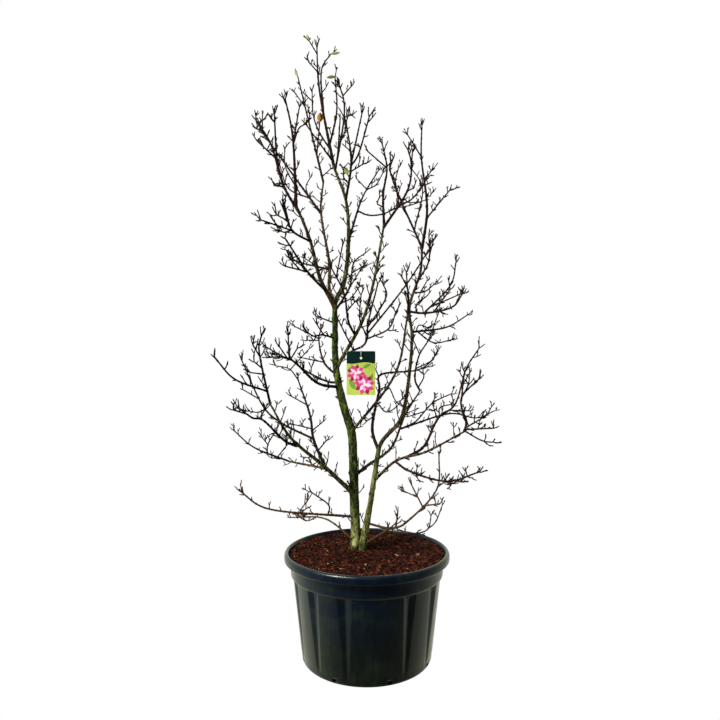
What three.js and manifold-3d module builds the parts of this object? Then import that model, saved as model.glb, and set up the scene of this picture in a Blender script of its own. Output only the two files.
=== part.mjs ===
// A potted magnolia: a bare winter shrub of two stems in a black nursery container.
// Millimetres, +Z up. The origin is the middle of the container's flat underside,
// -Y is the front. Every limb is one tapering tube along a smooth curve, and every
// mass of twigs is one stem with shoots, spurs and buds fused to it.
import * as THREE from "three";
import { mergeVertices } from "three/addons/utils/BufferGeometryUtils.js";
import Module from "manifold-3d";

const wasm = await Module();
wasm.setup();

// Container
const POT = {
  height: 520, rimRadius: 418, mouthRadius: 396, lipDepth: 44,
  collarRadius: 386, collarFoot: 408, wallTopRadius: 373, footRadius: 325,
  footRound: 9, floor: 8, wellRadius: 306, kneeRadius: 357, kneeHeight: 402,
  flutes: 12, fluteWidth: 12, fluteSlope: 5, fluteDepth: 9, panelTurn: 8, panelWidth: 48,
  slots: 8, slotTurn: 18.3, slotWidth: 26, slotHeight: 12, slotDepth: 22,
};
const FLUTE_PITCH = (360 - 2 * POT.panelWidth) / (POT.flutes - 2);
const SOIL_LEVEL = 505;
const GAP = 0.35;

// Where the limbs' places are sighted from: places are given as they line up with
// the plant's middle plane from this eye, and back is the depth behind that plane.
const EYE = { distance: 2830, height: 1348 };

// Twig rule
const SPUR_STEP = 175;
const SPUR_LENGTH = [26, 58];
const FORK_LENGTH = [30, 52];
const GOLDEN_TURN = 2.39996;
const TWIG_RADIUS = 2.7;
const CLEARANCE = 3;
const CROWN_DEPTH = 1.5;
const DEPTH_STEP = 26;
const DEPTH_TRIES = 15;

// Stems: way is [across, height] pairs, girth is [height, radius] pairs.
const STEMS = [
  {
    name: "main_stem", depth: [45, 0],
    way: [[-59, 517], [-57, 600], [-64, 760], [-69, 930], [-79, 1105], [-106, 1200],
      [-134, 1300], [-154, 1400], [-165, 1510], [-166, 1660], [-168, 1790]],
    girth: [[517, 29], [560, 26], [700, 24], [950, 23], [1100, 21.5], [1300, 20], [1500, 17], [1790, 13.5]],
  },
  {
    name: "second_stem", depth: [22, 0],
    way: [[-24, 517], [-10, 600], [18, 750], [40, 890], [57, 1000], [62, 1030]],
    girth: [[517, 20], [550, 17], [600, 15.5], [800, 14], [1030, 11.5]],
  },
];

// Boughs: on is the limb that carries it, way starts at its foot, back is the depth
// of its tip, and girth is the radius at its foot and tip.
const BOUGHS = [
  ["low_left_bough", "main_stem", [[-80, 792], [-215, 932], [-395, 1085], [-500, 1255]], -200, 12.5, 4.2],
  ["left_rear_bough", "low_left_bough", [[-208, 925], [-400, 962]], 170, 6.4, 4.5],
  ["right_bough", "second_stem", [[62, 1030], [85, 1075], [165, 1160], [192, 1230], [235, 1600],
    [222, 1760], [281, 1950], [290, 2070]], 90, 10.5, 6],
  ["low_right_bough", "second_stem", [[48, 862], [150, 965], [300, 1009], [500, 1113]], -150, 7.5, 4.2],
  ["cross_bough", "main_stem", [[-52, 882], [-5, 935], [110, 1015], [145, 1065], [192, 1190],
    [275, 1325]], 200, 8.5, 4.2],
  ["label_bough", "main_stem", [[-60, 1112], [150, 1420], [214, 1725]], -90, 7.5, 5],
  ["middle_bough", "main_stem", [[-150, 1445], [-25, 1685], [30, 1870], [90, 2195]], -110, 10, 5.2],
  ["crown_left_bough", "main_stem", [[-168, 1765], [-242, 1905], [-300, 2120],
    [-372, 2300]], -180, 11.5, 6],
  ["crown_rear_bough", "main_stem", [[-168, 1775], [-197, 1860], [-196, 1980], [-243, 2280],
    [-230, 2425]], 200, 9, 5],
  ["leader_bough", "main_stem", [[-168, 1790], [-120, 1890], [-104, 2290], [-176, 2515]], -10, 13, 6.5],
];

// Masses of twigs: each shoot is [the shoot it grows from, or -1 for the limb, its
// way, the depth of its tip, its radius at foot and tip]. The first is the mass's stem.
const MASSES = [
  ["low_left_twigs", "main_stem", [
    [-1, [[-64, 685], [-480, 715], [-562, 742], [-645, 806]], -140, 5.9, 3.2],
    [0, [[-195, 703], [-192, 732], [-285, 805]], -80, 3.7, 2.8],
    [0, [[-296, 701], [-325, 686], [-343, 702], [-303, 765]], -190, 3.4, 2.7],
  ]],
  ["low_rear_twigs", "main_stem", [
    [-1, [[-57, 556], [-213, 670], [-390, 677]], 170, 4.8, 2.9],
    [0, [[-262, 668], [-310, 660], [-352, 683]], 240, 3.3, 2.7],
  ]],
  ["sucker", "second_stem", [
    [-1, [[-14, 540], [150, 652], [153, 682]], -60, 4.3, 2.9],
  ]],
  ["low_right_twigs", "second_stem", [
    [-1, [[0, 650], [110, 622], [170, 631], [205, 655], [360, 822], [372, 1000]], -90, 5.6, 3],
    [0, [[276, 738], [229, 843]], -60, 3.7, 2.8],
    [1, [[248, 772], [192, 810]], -10, 3.1, 2.7],
    [0, [[284, 744], [376, 747]], -190, 3.4, 2.7],
    [0, [[362, 830], [402, 856], [430, 850]], -160, 3.2, 2.7],
  ]],
  ["low_right_rear_twigs", "second_stem", [
    [-1, [[-8, 604], [100, 596], [310, 615], [330, 690]], 190, 4.8, 2.9],
    [0, [[306, 613], [350, 652], [388, 742]], 260, 3.2, 2.7],
  ]],
  ["left_outer_twigs", "low_left_bough", [
    [-1, [[-355, 1042], [-410, 1058], [-550, 1181], [-585, 1182], [-662, 1236]], -330, 5.9, 3.2],
    [0, [[-612, 1203], [-692, 1226]], -370, 3.4, 2.7],
    [0, [[-556, 1182], [-528, 1228]], -260, 3.2, 2.7],
    [0, [[-455, 1090], [-436, 1128]], -200, 3.1, 2.7],
  ]],
  ["far_left_twigs", "low_left_bough", [
    [-1, [[-500, 1255], [-556, 1500], [-562, 1560], [-547, 1618]], -310, 5.4, 3.1],
    [0, [[-524, 1322], [-690, 1388], [-795, 1503]], -400, 4.3, 3],
    [0, [[-556, 1495], [-594, 1564]], -350, 3.3, 2.7],
    [0, [[-543, 1412], [-608, 1420]], -240, 3.3, 2.7],
    [0, [[-548, 1440], [-588, 1477]], -320, 3.2, 2.7],
  ]],
  ["left_rear_twigs", "left_rear_bough", [
    [-1, [[-400, 962], [-588, 1037], [-688, 1121]], 260, 5.2, 3.1],
    [0, [[-510, 1015], [-512, 1045], [-462, 1134]], 190, 3.7, 2.8],
    [1, [[-512, 1045], [-546, 1090]], 300, 3.1, 2.7],
    [0, [[-458, 987], [-414, 1044]], 130, 3.3, 2.7],
    [0, [[-440, 978], [-492, 979]], 230, 3.1, 2.7],
  ]],
  ["left_inner_twigs", "low_left_bough", [
    [-1, [[-214, 931], [-276, 1078], [-292, 1190], [-358, 1386]], 190, 7.4, 3.7],
    [0, [[-276, 1078], [-440, 1158], [-525, 1228], [-650, 1482]], 90, 5.4, 3],
    [1, [[-548, 1286], [-644, 1332]], 150, 3.4, 2.7],
    [1, [[-525, 1232], [-560, 1214], [-612, 1220]], 20, 3.4, 2.7],
    [0, [[-356, 1382], [-402, 1438], [-474, 1455]], 260, 3.5, 2.8],
    [4, [[-398, 1436], [-298, 1546]], 330, 3.3, 2.7],
    [0, [[-316, 1252], [-392, 1297]], 120, 3.4, 2.7],
    [0, [[-300, 1128], [-398, 1156]], 260, 3.4, 2.7],
    [0, [[-293, 1120], [-224, 1168]], 90, 3.3, 2.7],
    [0, [[-250, 1018], [-208, 1070]], 40, 3.3, 2.7],
  ]],
  ["mid_left_twigs", "main_stem", [
    [-1, [[-145, 1342], [-250, 1362], [-404, 1492], [-500, 1500]], -230, 7.4, 3.1],
    [0, [[-402, 1492], [-411, 1630]], -180, 3.7, 2.8],
    [0, [[-396, 1490], [-360, 1548]], -120, 3.4, 2.7],
    [0, [[-420, 1490], [-524, 1552]], -300, 3.3, 2.7],
    [0, [[-414, 1492], [-456, 1556]], -240, 3.3, 2.7],
  ]],
  ["mid_left_rear_twigs", "main_stem", [
    [-1, [[-150, 1368], [-200, 1372], [-350, 1450], [-398, 1500], [-402, 1560]], 250, 5.9, 3],
    [0, [[-290, 1415], [-288, 1448]], 120, 3.1, 2.6],
    [0, [[-380, 1478], [-515, 1522]], 310, 3.4, 2.7],
  ]],
  ["upper_left_twigs", "main_stem", [
    [-1, [[-160, 1402], [-221, 1470], [-250, 1598], [-238, 1650]], 190, 5.6, 3.1],
    [0, [[-222, 1472], [-346, 1498]], 110, 3.5, 2.7],
    [0, [[-249, 1595], [-390, 1667]], 300, 3.7, 2.8],
    [0, [[-245, 1588], [-314, 1588]], 240, 3.3, 2.7],
  ]],
  ["upper_left_front_twigs", "main_stem", [
    [-1, [[-166, 1598], [-234, 1616], [-282, 1610], [-312, 1632]], -170, 4.8, 2.9],
    [0, [[-224, 1612], [-262, 1672]], -130, 3.3, 2.7],
  ]],
  ["upper_left_spur", "main_stem", [
    [-1, [[-166, 1680], [-270, 1716]], 110, 4.3, 2.8],
  ]],
  ["left_wing_twigs", "crown_left_bough", [
    [-1, [[-212, 1848], [-305, 1940], [-432, 2128]], -380, 5.9, 3.1],
    [0, [[-310, 1948], [-432, 1978]], -300, 3.7, 2.8],
    [1, [[-352, 1956], [-412, 2026]], -330, 3.3, 2.7],
    [0, [[-320, 1965], [-372, 2002]], -230, 3.2, 2.7],
  ]],
  ["left_wing_rear_twigs", "crown_rear_bough", [
    [-1, [[-196, 1958], [-386, 2014], [-400, 2048], [-432, 2066]], 330, 5.2, 3],
    [0, [[-262, 1970], [-330, 2022]], 220, 3.3, 2.7],
    [0, [[-230, 1964], [-296, 1928]], 250, 3.3, 2.7],
  ]],
  ["left_shoulder_twigs", "crown_left_bough", [
    [-1, [[-300, 2106], [-388, 2162], [-444, 2292]], -330, 5.4, 3],
    [0, [[-390, 2164], [-560, 2224]], -400, 3.8, 2.8],
    [0, [[-404, 2196], [-434, 2306]], -260, 3.3, 2.7],
    [0, [[-396, 2170], [-430, 2156], [-466, 2171]], -290, 3.2, 2.7],
    [0, [[-410, 2222], [-478, 2252]], -360, 3.2, 2.7],
  ]],
  ["left_plume", "crown_left_bough", [
    [-1, [[-372, 2300], [-396, 2690], [-435, 2878]], -190, 7, 3.2],
    [0, [[-391, 2640], [-358, 2838]], -110, 4, 2.8],
    [0, [[-390, 2625], [-359, 2720], [-336, 2734]], -240, 3.7, 2.7],
  ]],
  ["left_outer_plume", "crown_left_bough", [
    [-1, [[-356, 2252], [-440, 2406], [-512, 2638], [-592, 2764]], -330, 6.3, 3.1],
    [0, [[-440, 2406], [-474, 2540], [-492, 2794]], -250, 5, 3],
    [0, [[-488, 2556], [-584, 2650]], -380, 3.7, 2.8],
    [0, [[-548, 2706], [-556, 2760]], -300, 3.2, 2.7],
    [0, [[-434, 2396], [-492, 2412]], -330, 3.2, 2.7],
    [0, [[-545, 2700], [-588, 2716]], -370, 3.2, 2.7],
  ]],
  ["rear_left_plume", "crown_rear_bough", [
    [-1, [[-236, 2258], [-556, 2694]], 300, 6.7, 3.1],
    [0, [[-300, 2346], [-412, 2390], [-462, 2520]], 210, 4.3, 2.9],
    [1, [[-346, 2363], [-430, 2505], [-436, 2608]], 340, 3.9, 2.8],
    [0, [[-305, 2354], [-322, 2400], [-300, 2450]], 200, 3.4, 2.7],
  ]],
  ["rear_plume", "crown_rear_bough", [
    [-1, [[-230, 2425], [-369, 3000]], 230, 6.3, 3.1],
    [0, [[-263, 2570], [-250, 2752]], 130, 4, 2.8],
    [0, [[-330, 2830], [-388, 2917]], 290, 3.5, 2.7],
    [0, [[-238, 2450], [-190, 2498]], 160, 3.3, 2.7],
    [0, [[-306, 2738], [-304, 2796]], 180, 3.1, 2.6],
  ]],
  ["top_plume", "leader_bough", [
    [-1, [[-176, 2515], [-256, 2950], [-268, 3170]], 0, 7.6, 3],
    [0, [[-231, 2805], [-240, 3045], [-192, 3122]], -50, 4.5, 2.8],
    [0, [[-192, 2625], [-160, 2812], [-170, 2998]], -110, 4.8, 2.9],
    [0, [[-188, 2600], [-256, 2702], [-285, 2790], [-292, 2925]], 110, 4.3, 2.8],
    [0, [[-180, 2540], [-320, 2732]], -80, 3.9, 2.8],
    [0, [[-268, 3120], [-311, 3198]], -15, 3.1, 2.7],
    [0, [[-262, 3018], [-310, 3078]], -20, 3.2, 2.7],
    [3, [[-300, 2862], [-338, 2908]], 150, 3.1, 2.7],
  ]],
  ["top_right_plume", "leader_bough", [
    [-1, [[-170, 2490], [-120, 2790], [-125, 2880], [-151, 2960]], -130, 5.2, 3],
    [0, [[-161, 2570], [-143, 2752]], -200, 3.7, 2.8],
    [0, [[-145, 2628], [-112, 2704]], -60, 3.4, 2.7],
    [0, [[-127, 2892], [-83, 2945]], -90, 3.2, 2.7],
    [0, [[-121, 2770], [-84, 2792]], -160, 3.2, 2.7],
  ]],
  ["right_plume", "leader_bough", [
    [-1, [[-107, 2330], [-83, 2530], [-112, 2760]], -260, 6.3, 3],
    [0, [[-84, 2520], [-25, 2802]], -200, 4.1, 2.9],
    [0, [[-85, 2510], [-50, 2565], [14, 2784]], -320, 4.1, 2.9],
    [0, [[-90, 2480], [-18, 2524]], -190, 3.3, 2.7],
    [0, [[-98, 2420], [-122, 2450], [-122, 2505]], -330, 3.4, 2.7],
  ]],
  ["right_plume_foot", "leader_bough", [
    [-1, [[-106, 2105], [-22, 2345], [62, 2490]], 210, 6.1, 2.9],
    [0, [[0, 2392], [45, 2408], [87, 2480]], 270, 3.4, 2.7],
    [0, [[-2, 2388], [-55, 2444]], 170, 3.3, 2.7],
    [0, [[-42, 2272], [0, 2250], [73, 2252], [156, 2288], [245, 2342], [281, 2394], [317, 2440]],
      280, 4.2, 2.8],
    [3, [[150, 2286], [224, 2300], [310, 2330]], 300, 3.1, 2.6],
  ]],
  ["middle_rear_twigs", "main_stem", [
    [-1, [[-166, 1735], [-90, 1868], [-67, 1998], [-5, 2050]], 230, 5.9, 2.9],
    [0, [[-116, 1818], [-14, 1990]], 300, 3.8, 2.8],
    [0, [[-71, 1940], [-10, 1984]], 170, 3.3, 2.7],
    [0, [[-67, 1990], [-96, 2040]], 200, 3.2, 2.7],
    [0, [[-140, 1780], [-95, 1800], [-36, 1872]], 120, 3.5, 2.7],
  ]],
  ["middle_front_twigs", "middle_bough", [
    [-1, [[-66, 1618], [-95, 1680], [-120, 1835], [-186, 1968]], -230, 5.6, 2.9],
    [0, [[-106, 1740], [-62, 1790]], -160, 3.3, 2.7],
    [0, [[-160, 1918], [-128, 2090]], -270, 3.2, 2.7],
  ]],
  ["label_twigs", "middle_bough", [
    [-1, [[-116, 1512], [-64, 1538], [-16, 1562], [2, 1600], [4, 1662], [58, 1888]], -230, 5.4, 2.9],
    [0, [[0, 1594], [115, 1650], [152, 1738]], -320, 3.8, 2.8],
    [0, [[-13, 1625], [206, 1880], [334, 2078]], -190, 4.3, 2.9],
    [0, [[-8, 1662], [86, 1782], [104, 1830], [82, 1888]], -330, 3.5, 2.7],
    [0, [[-70, 1536], [-152, 1700]], -200, 3.7, 2.8],
    [0, [[2, 1608], [-36, 1690], [-30, 1832]], -140, 3.4, 2.7],
  ]],
  ["fork_left_plume", "middle_bough", [
    [-1, [[90, 2195], [86, 2360], [106, 2500], [81, 2632]], -160, 6.1, 3],
    [0, [[105, 2502], [6, 2590]], -210, 3.5, 2.7],
    [0, [[84, 2290], [54, 2310], [70, 2350]], -90, 3.2, 2.7],
  ]],
  ["fork_right_plume", "middle_bough", [
    [-1, [[88, 2182], [222, 2400], [233, 2540], [216, 2604]], -290, 6.1, 3],
    [0, [[160, 2304], [148, 2430], [118, 2496], [128, 2540]], -230, 3.9, 2.8],
    [0, [[166, 2312], [226, 2326], [300, 2410]], -350, 3.5, 2.7],
    [0, [[232, 2490], [242, 2592]], -330, 3.2, 2.7],
    [0, [[216, 2370], [242, 2392]], -230, 3.1, 2.6],
  ]],
  ["right_cross_plume", "right_bough", [
    [-1, [[289, 2060], [124, 2490], [140, 2552]], 220, 6.3, 2.9],
    [0, [[252, 2166], [292, 2402], [236, 2500]], 290, 4, 2.8],
    [0, [[152, 2418], [166, 2502]], 170, 3.2, 2.7],
    [0, [[190, 2335], [168, 2360], [174, 2396]], 270, 3.2, 2.7],
  ]],
  ["right_top_plume", "right_bough", [
    [-1, [[290, 2070], [317, 2280], [288, 2565], [292, 2735]], 10, 7.4, 3.1],
    [0, [[315, 2226], [437, 2382]], -100, 4.1, 2.9],
    [0, [[290, 2562], [214, 2684]], 80, 3.8, 2.8],
    [0, [[308, 2428], [344, 2492]], -60, 3.4, 2.7],
    [0, [[311, 2380], [332, 2345], [340, 2366]], 60, 3.1, 2.6],
  ]],
  ["right_shoulder_twigs", "right_bough", [
    [-1, [[272, 1896], [324, 2002], [326, 2140]], -110, 4.8, 2.9],
    [0, [[327, 2024], [350, 2116]], -60, 3.3, 2.7],
  ]],
  ["right_spray_rear", "right_bough", [
    [-1, [[244, 1836], [302, 1843], [367, 1895]], 300, 4.3, 2.8],
    [0, [[280, 1842], [316, 1902]], 180, 3.2, 2.7],
  ]],
  ["right_mid_twigs", "right_bough", [
    [-1, [[228, 1738], [290, 1730], [410, 1748], [460, 1772], [498, 1830]], -260, 5.9, 3],
    [0, [[300, 1732], [442, 1885], [468, 2003]], -160, 4.5, 2.9],
    [1, [[330, 1758], [492, 1832]], -100, 3.5, 2.8],
    [0, [[255, 1734], [262, 1780], [308, 1815]], -150, 3.3, 2.7],
    [0, [[350, 1742], [436, 1855]], -300, 3.5, 2.8],
  ]],
  ["right_arm_twigs", "right_bough", [
    [-1, [[237, 1632], [420, 1658], [528, 1722]], 280, 5.6, 3],
    [0, [[262, 1636], [348, 1575], [446, 1592]], 180, 4, 2.8],
    [0, [[290, 1640], [330, 1616], [352, 1628]], 320, 3.3, 2.7],
    [0, [[255, 1634], [270, 1668], [322, 1652]], 90, 3.3, 2.7],
  ]],
  ["label_bough_twigs", "label_bough", [
    [-1, [[214, 1725], [214, 1850], [182, 1924]], -150, 5.4, 2.9],
    [0, [[206, 1770], [202, 1822]], -80, 3.2, 2.7],
    [0, [[213, 1840], [206, 1948]], -210, 3.4, 2.7],
  ]],
  ["inner_right_twigs", "second_stem", [
    [-1, [[60, 1018], [28, 1122], [65, 1342], [62, 1402], [270, 1435], [330, 1475],
      [352, 1508]], 210, 8, 2.9],
    [0, [[62, 1398], [40, 1450]], 60, 3.4, 2.7],
    [0, [[51, 1268], [100, 1215], [150, 1240], [186, 1290]], 230, 3.5, 2.7],
    [0, [[62, 1330], [110, 1345], [150, 1270], [196, 1235]], 130, 3.4, 2.7],
    [0, [[39, 1200], [-5, 1165]], 90, 3.2, 2.7],
  ]],
  ["right_inner_twigs", "cross_bough", [
    [-1, [[275, 1325], [250, 1380], [272, 1510], [318, 1585], [378, 1742]], 270, 5.2, 2.9],
    [0, [[266, 1342], [296, 1400], [292, 1440], [340, 1452]], 340, 3.7, 2.7],
    [0, [[260, 1440], [335, 1482], [366, 1524]], 170, 3.5, 2.7],
    [0, [[273, 1514], [238, 1598]], 220, 3.4, 2.7],
  ]],
  ["right_long_twigs", "cross_bough", [
    [-1, [[170, 1128], [440, 1208], [560, 1185], [618, 1200], [646, 1245]], 330, 5.2, 3],
    [0, [[608, 1196], [670, 1226]], 380, 3.2, 2.7],
    [0, [[185, 1134], [250, 1165], [340, 1262], [440, 1311]], 230, 4.1, 2.8],
    [2, [[298, 1220], [206, 1190]], 300, 3.2, 2.7],
    [2, [[332, 1254], [352, 1288]], 200, 3.1, 2.6],
  ]],
  ["right_fan_twigs", "low_right_bough", [
    [-1, [[208, 987], [292, 1036], [372, 1188], [452, 1248], [508, 1425]], 120, 6.7, 3],
    [0, [[368, 1182], [404, 1218], [526, 1222]], 40, 3.5, 2.7],
    [0, [[366, 1178], [342, 1250]], 170, 3.3, 2.7],
    [0, [[374, 1192], [376, 1236], [440, 1256]], 200, 3.3, 2.7],
    [0, [[340, 1115], [330, 1136]], 60, 3.1, 2.6],
    [0, [[482, 1334], [534, 1420]], 190, 3.2, 2.7],
  ]],
  ["far_right_twigs", "low_right_bough", [
    [-1, [[500, 1113], [514, 1155], [487, 1256], [492, 1296], [582, 1388]], -200, 5.4, 3],
    [0, [[489, 1270], [512, 1430], [586, 1550]], -130, 4, 2.8],
    [0, [[508, 1132], [600, 1186]], -270, 3.4, 2.7],
    [0, [[505, 1124], [655, 1132]], -320, 3.8, 2.8],
    [0, [[503, 1119], [600, 1066], [656, 1060]], -230, 3.7, 2.7],
    [0, [[490, 1290], [528, 1358]], -240, 3.2, 2.7],
  ]],
  ["low_right_front_twigs", "low_right_bough", [
    [-1, [[148, 958], [200, 922], [412, 860], [576, 907]], -330, 5.4, 3],
    [0, [[408, 860], [430, 838]], -360, 3.2, 2.7],
    [0, [[448, 862], [484, 857]], -300, 3.2, 2.7],
    [0, [[240, 905], [256, 892]], -230, 3.1, 2.6],
  ]],
];

// Leftover leaves at shoot tips: [mass, shoot, length, width, heading].
const LEAVES = [
  ["top_plume", 5, 34, 16, [-0.4, 1, -0.2]],
  ["top_plume", 5, 26, 12, [0.35, 1, 0.3]],
  ["top_plume", 1, 50, 17, [1, 0.1, -0.25]],
  ["rear_plume", 0, 50, 15, [-0.5, 1, 0.1]],
  ["top_plume", 2, 46, 18, [-1, -0.25, -0.4]],
  ["rear_plume", 1, 52, 30, [0.05, 1, -0.3]],
  ["middle_rear_twigs", 4, 34, 20, [-0.5, 0.6, -0.5]],
];

// Label: a printed card on a thin tie
const LABEL = {
  across: -32, hangsAt: 1554, drop: 54, tie: 1.1,
  width: 146, height: 238, thick: 1.6, corner: 6, hole: 5.5, holeDrop: 36,
};

const COLOURS = {
  plastic: 0x23292b, compost: 0x4e2a1d, stem: 0x6b7340, bough: 0x4b4a2c, twig: 0x37271f,
  card: 0xc23a78, tie: 0xe8e8e0,
};

// One stream of repeatable random numbers between 0 and 1.
function makeDice(seed) {
  let state = seed >>> 0;
  return () => {
    state = (Math.imul(state, 1664525) + 1013904223) >>> 0;
    return state / 4294967296;
  };
}

// The real place of a point sighted at across and height, at a depth behind the middle plane.
function place(across, height, depth) {
  const t = 1 + depth / EYE.distance;
  return new THREE.Vector3(across * t, depth, EYE.height + (height - EYE.height) * t);
}

// A smooth curve through the points, kept only where it bends by more than the slack.
function trace(points, slack) {
  const curve = new THREE.CatmullRomCurve3(points, false, "centripetal");
  return thinOut(curve.getSpacedPoints(Math.ceil(curve.getLength() / 22)), slack);
}

function thinOut(points, slack) {
  const last = points.length - 1;
  const chord = new THREE.Line3(points[0], points[last]);
  let far = { miss: slack, i: 0 };
  for (let i = 1; i < last; i++) {
    const miss = chord.closestPointToPoint(points[i], true, new THREE.Vector3()).distanceTo(points[i]);
    if (miss > far.miss) far = { miss, i };
  }
  if (!far.i) return [points[0], points[last]];
  return [...thinOut(points.slice(0, far.i + 1), slack).slice(0, -1), ...thinOut(points.slice(far.i), slack)];
}

// Places along a way, with the depth running evenly from the foot's to the tip's.
function wayPlaces(way, footDepth, tipDepth) {
  const run = [0];
  for (let i = 1; i < way.length; i++)
    run.push(run[i - 1] + Math.hypot(way[i][0] - way[i - 1][0], way[i][1] - way[i - 1][1]));
  const whole = run[run.length - 1];
  return way.map(([x, z], i) => place(x, z, footDepth + (tipDepth - footDepth) * (run[i] / whole)));
}

// Radius by height from a girth list.
function girthAt(girth, height) {
  for (let i = 1; i < girth.length; i++) {
    const [z0, r0] = girth[i - 1];
    const [z1, r1] = girth[i];
    if (height <= z1) return r0 + (r1 - r0) * Math.max(0, (height - z0) / (z1 - z0));
  }
  return girth[girth.length - 1][1];
}

// A closed tube through the points: rings square to the path, carried along without twist.
// A ring of no radius is one vertex, so a tube can start or end in a point.
function tubeSolid(points, radii, sides, firstTangent) {
  const tangents = points.map((p, i) => {
    const a = points[Math.max(0, i - 1)];
    const b = points[Math.min(points.length - 1, i + 1)];
    return b.clone().sub(a).normalize();
  });
  if (firstTangent) tangents[0] = firstTangent.clone();
  const normal = new THREE.Vector3(0.2, 1, 0.1).cross(tangents[0]).normalize();
  const position = [];
  const rings = points.map((p, i) => {
    normal.addScaledVector(tangents[i], -normal.dot(tangents[i])).normalize();
    const side = tangents[i].clone().cross(normal);
    const ring = [];
    for (let k = 0; k < (radii[i] > 0 ? sides : 1); k++) {
      const turn = (2 * Math.PI * k) / sides;
      const v = p.clone();
      v.addScaledVector(normal, Math.cos(turn) * radii[i]).addScaledVector(side, Math.sin(turn) * radii[i]);
      ring.push(position.length / 3);
      position.push(v.x, v.y, v.z);
    }
    return ring;
  });
  const index = [];
  for (let i = 1; i < rings.length; i++)
    for (let k = 0; k < sides; k++) {
      const next = (k + 1) % sides;
      const [a, b] = [rings[i - 1][k], rings[i - 1][next]];
      const [c, d] = [rings[i][next], rings[i][k]];
      if (rings[i - 1].length === 1) index.push(rings[i - 1][0], c, d);
      else if (rings[i].length === 1) index.push(a, b, rings[i][0]);
      else index.push(a, b, c, a, c, d);
    }
  const first = rings[0];
  const last = rings[rings.length - 1];
  for (let k = 1; k < first.length - 1; k++) index.push(first[0], first[k + 1], first[k]);
  for (let k = 1; k < last.length - 1; k++) index.push(last[0], last[k], last[k + 1]);
  return solidFrom(position, index);
}

function solidFrom(position, index) {
  const mesh = { numProp: 3, vertProperties: new Float32Array(position), triVerts: new Uint32Array(index) };
  return new wasm.Manifold(new wasm.Mesh(mesh));
}

// A solid from a three.js geometry.
function solidOf(geometry) {
  const bare = geometry.clone();
  bare.deleteAttribute("normal");
  bare.deleteAttribute("uv");
  const merged = mergeVertices(bare, 1e-4);
  return solidFrom(merged.attributes.position.array, merged.index.array);
}

// The largest of a solid's separate bodies: loose scraps are dropped.
function largest(solid) {
  const bodies = solid.decompose();
  return bodies.reduce((best, body) => (body.volume() > best.volume() ? body : best));
}

function join(solids) {
  return solids.reduce((sum, solid) => sum.add(solid));
}

// Tubes that are already placed, as segments: what a new twig must stay clear of.
const placed = [];

function addTube(tube) {
  for (let i = 1; i < tube.points.length; i++) {
    const r = Math.max(tube.radii[i - 1], tube.radii[i]);
    placed.push({ a: tube.points[i - 1], b: tube.points[i], r, tube });
  }
}

const segmentHelper = new THREE.Vector3();

// Least distance between two segments, by ternary steps on one and projection on the other.
function segmentDistance(a, b, c, d) {
  const u = b.clone().sub(a);
  const v = d.clone().sub(c);
  const w = a.clone().sub(c);
  const uu = u.dot(u);
  const uv = u.dot(v);
  const vv = v.dot(v);
  const uw = u.dot(w);
  const vw = v.dot(w);
  const det = uu * vv - uv * uv;
  let s = det > 1e-9 ? Math.min(1, Math.max(0, (uv * vw - vv * uw) / det)) : 0;
  const t = Math.min(1, Math.max(0, (uv * s + vw) / vv));
  s = Math.min(1, Math.max(0, (uv * t - uw) / uu));
  segmentHelper.copy(w).addScaledVector(u, s).addScaledVector(v, -t);
  return segmentHelper.length();
}

// The path from a given length on.
function beyond(points, length) {
  let left = length;
  for (let i = 1; i < points.length; i++) {
    const step = points[i].distanceTo(points[i - 1]);
    if (left < step) return [points[i - 1].clone().lerp(points[i], left / step), ...points.slice(i)];
    left -= step;
  }
  return [];
}

// Whether a path, past the first free length, keeps clear of every placed tube.
function isClear(points, radius, free, mass) {
  const path = beyond(points, free);
  for (let i = 1; i < path.length; i++)
    for (const other of placed) {
      const need = radius + other.r + CLEARANCE * (other.tube.mass === mass ? 0.3 : 1);
      const [a, b] = [path[i - 1], path[i]];
      if (Math.min(a.z, b.z) - need > Math.max(other.a.z, other.b.z)) continue;
      if (Math.max(a.z, b.z) + need < Math.min(other.a.z, other.b.z)) continue;
      if (segmentDistance(a, b, other.a, other.b) < need) return false;
    }
  return true;
}

// The place on a tube that lines up with a sighted point, as its index and spot.
function footOn(tube, across, height) {
  let best = { miss: Infinity };
  const wanted = place(across, height, 0);
  for (let i = 1; i < tube.points.length; i++)
    for (let k = 0; k <= 40; k++) {
      const p = tube.points[i - 1].clone().lerp(tube.points[i], k / 40);
      const t = 1 + p.y / EYE.distance;
      const miss = Math.hypot(p.x / t - wanted.x, EYE.height + (p.z - EYE.height) / t - wanted.z);
      if (miss < best.miss) best = { miss, p, i };
    }
  best.end = best.p.distanceTo(tube.points[tube.points.length - 1]) < 12;
  return best;
}

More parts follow.
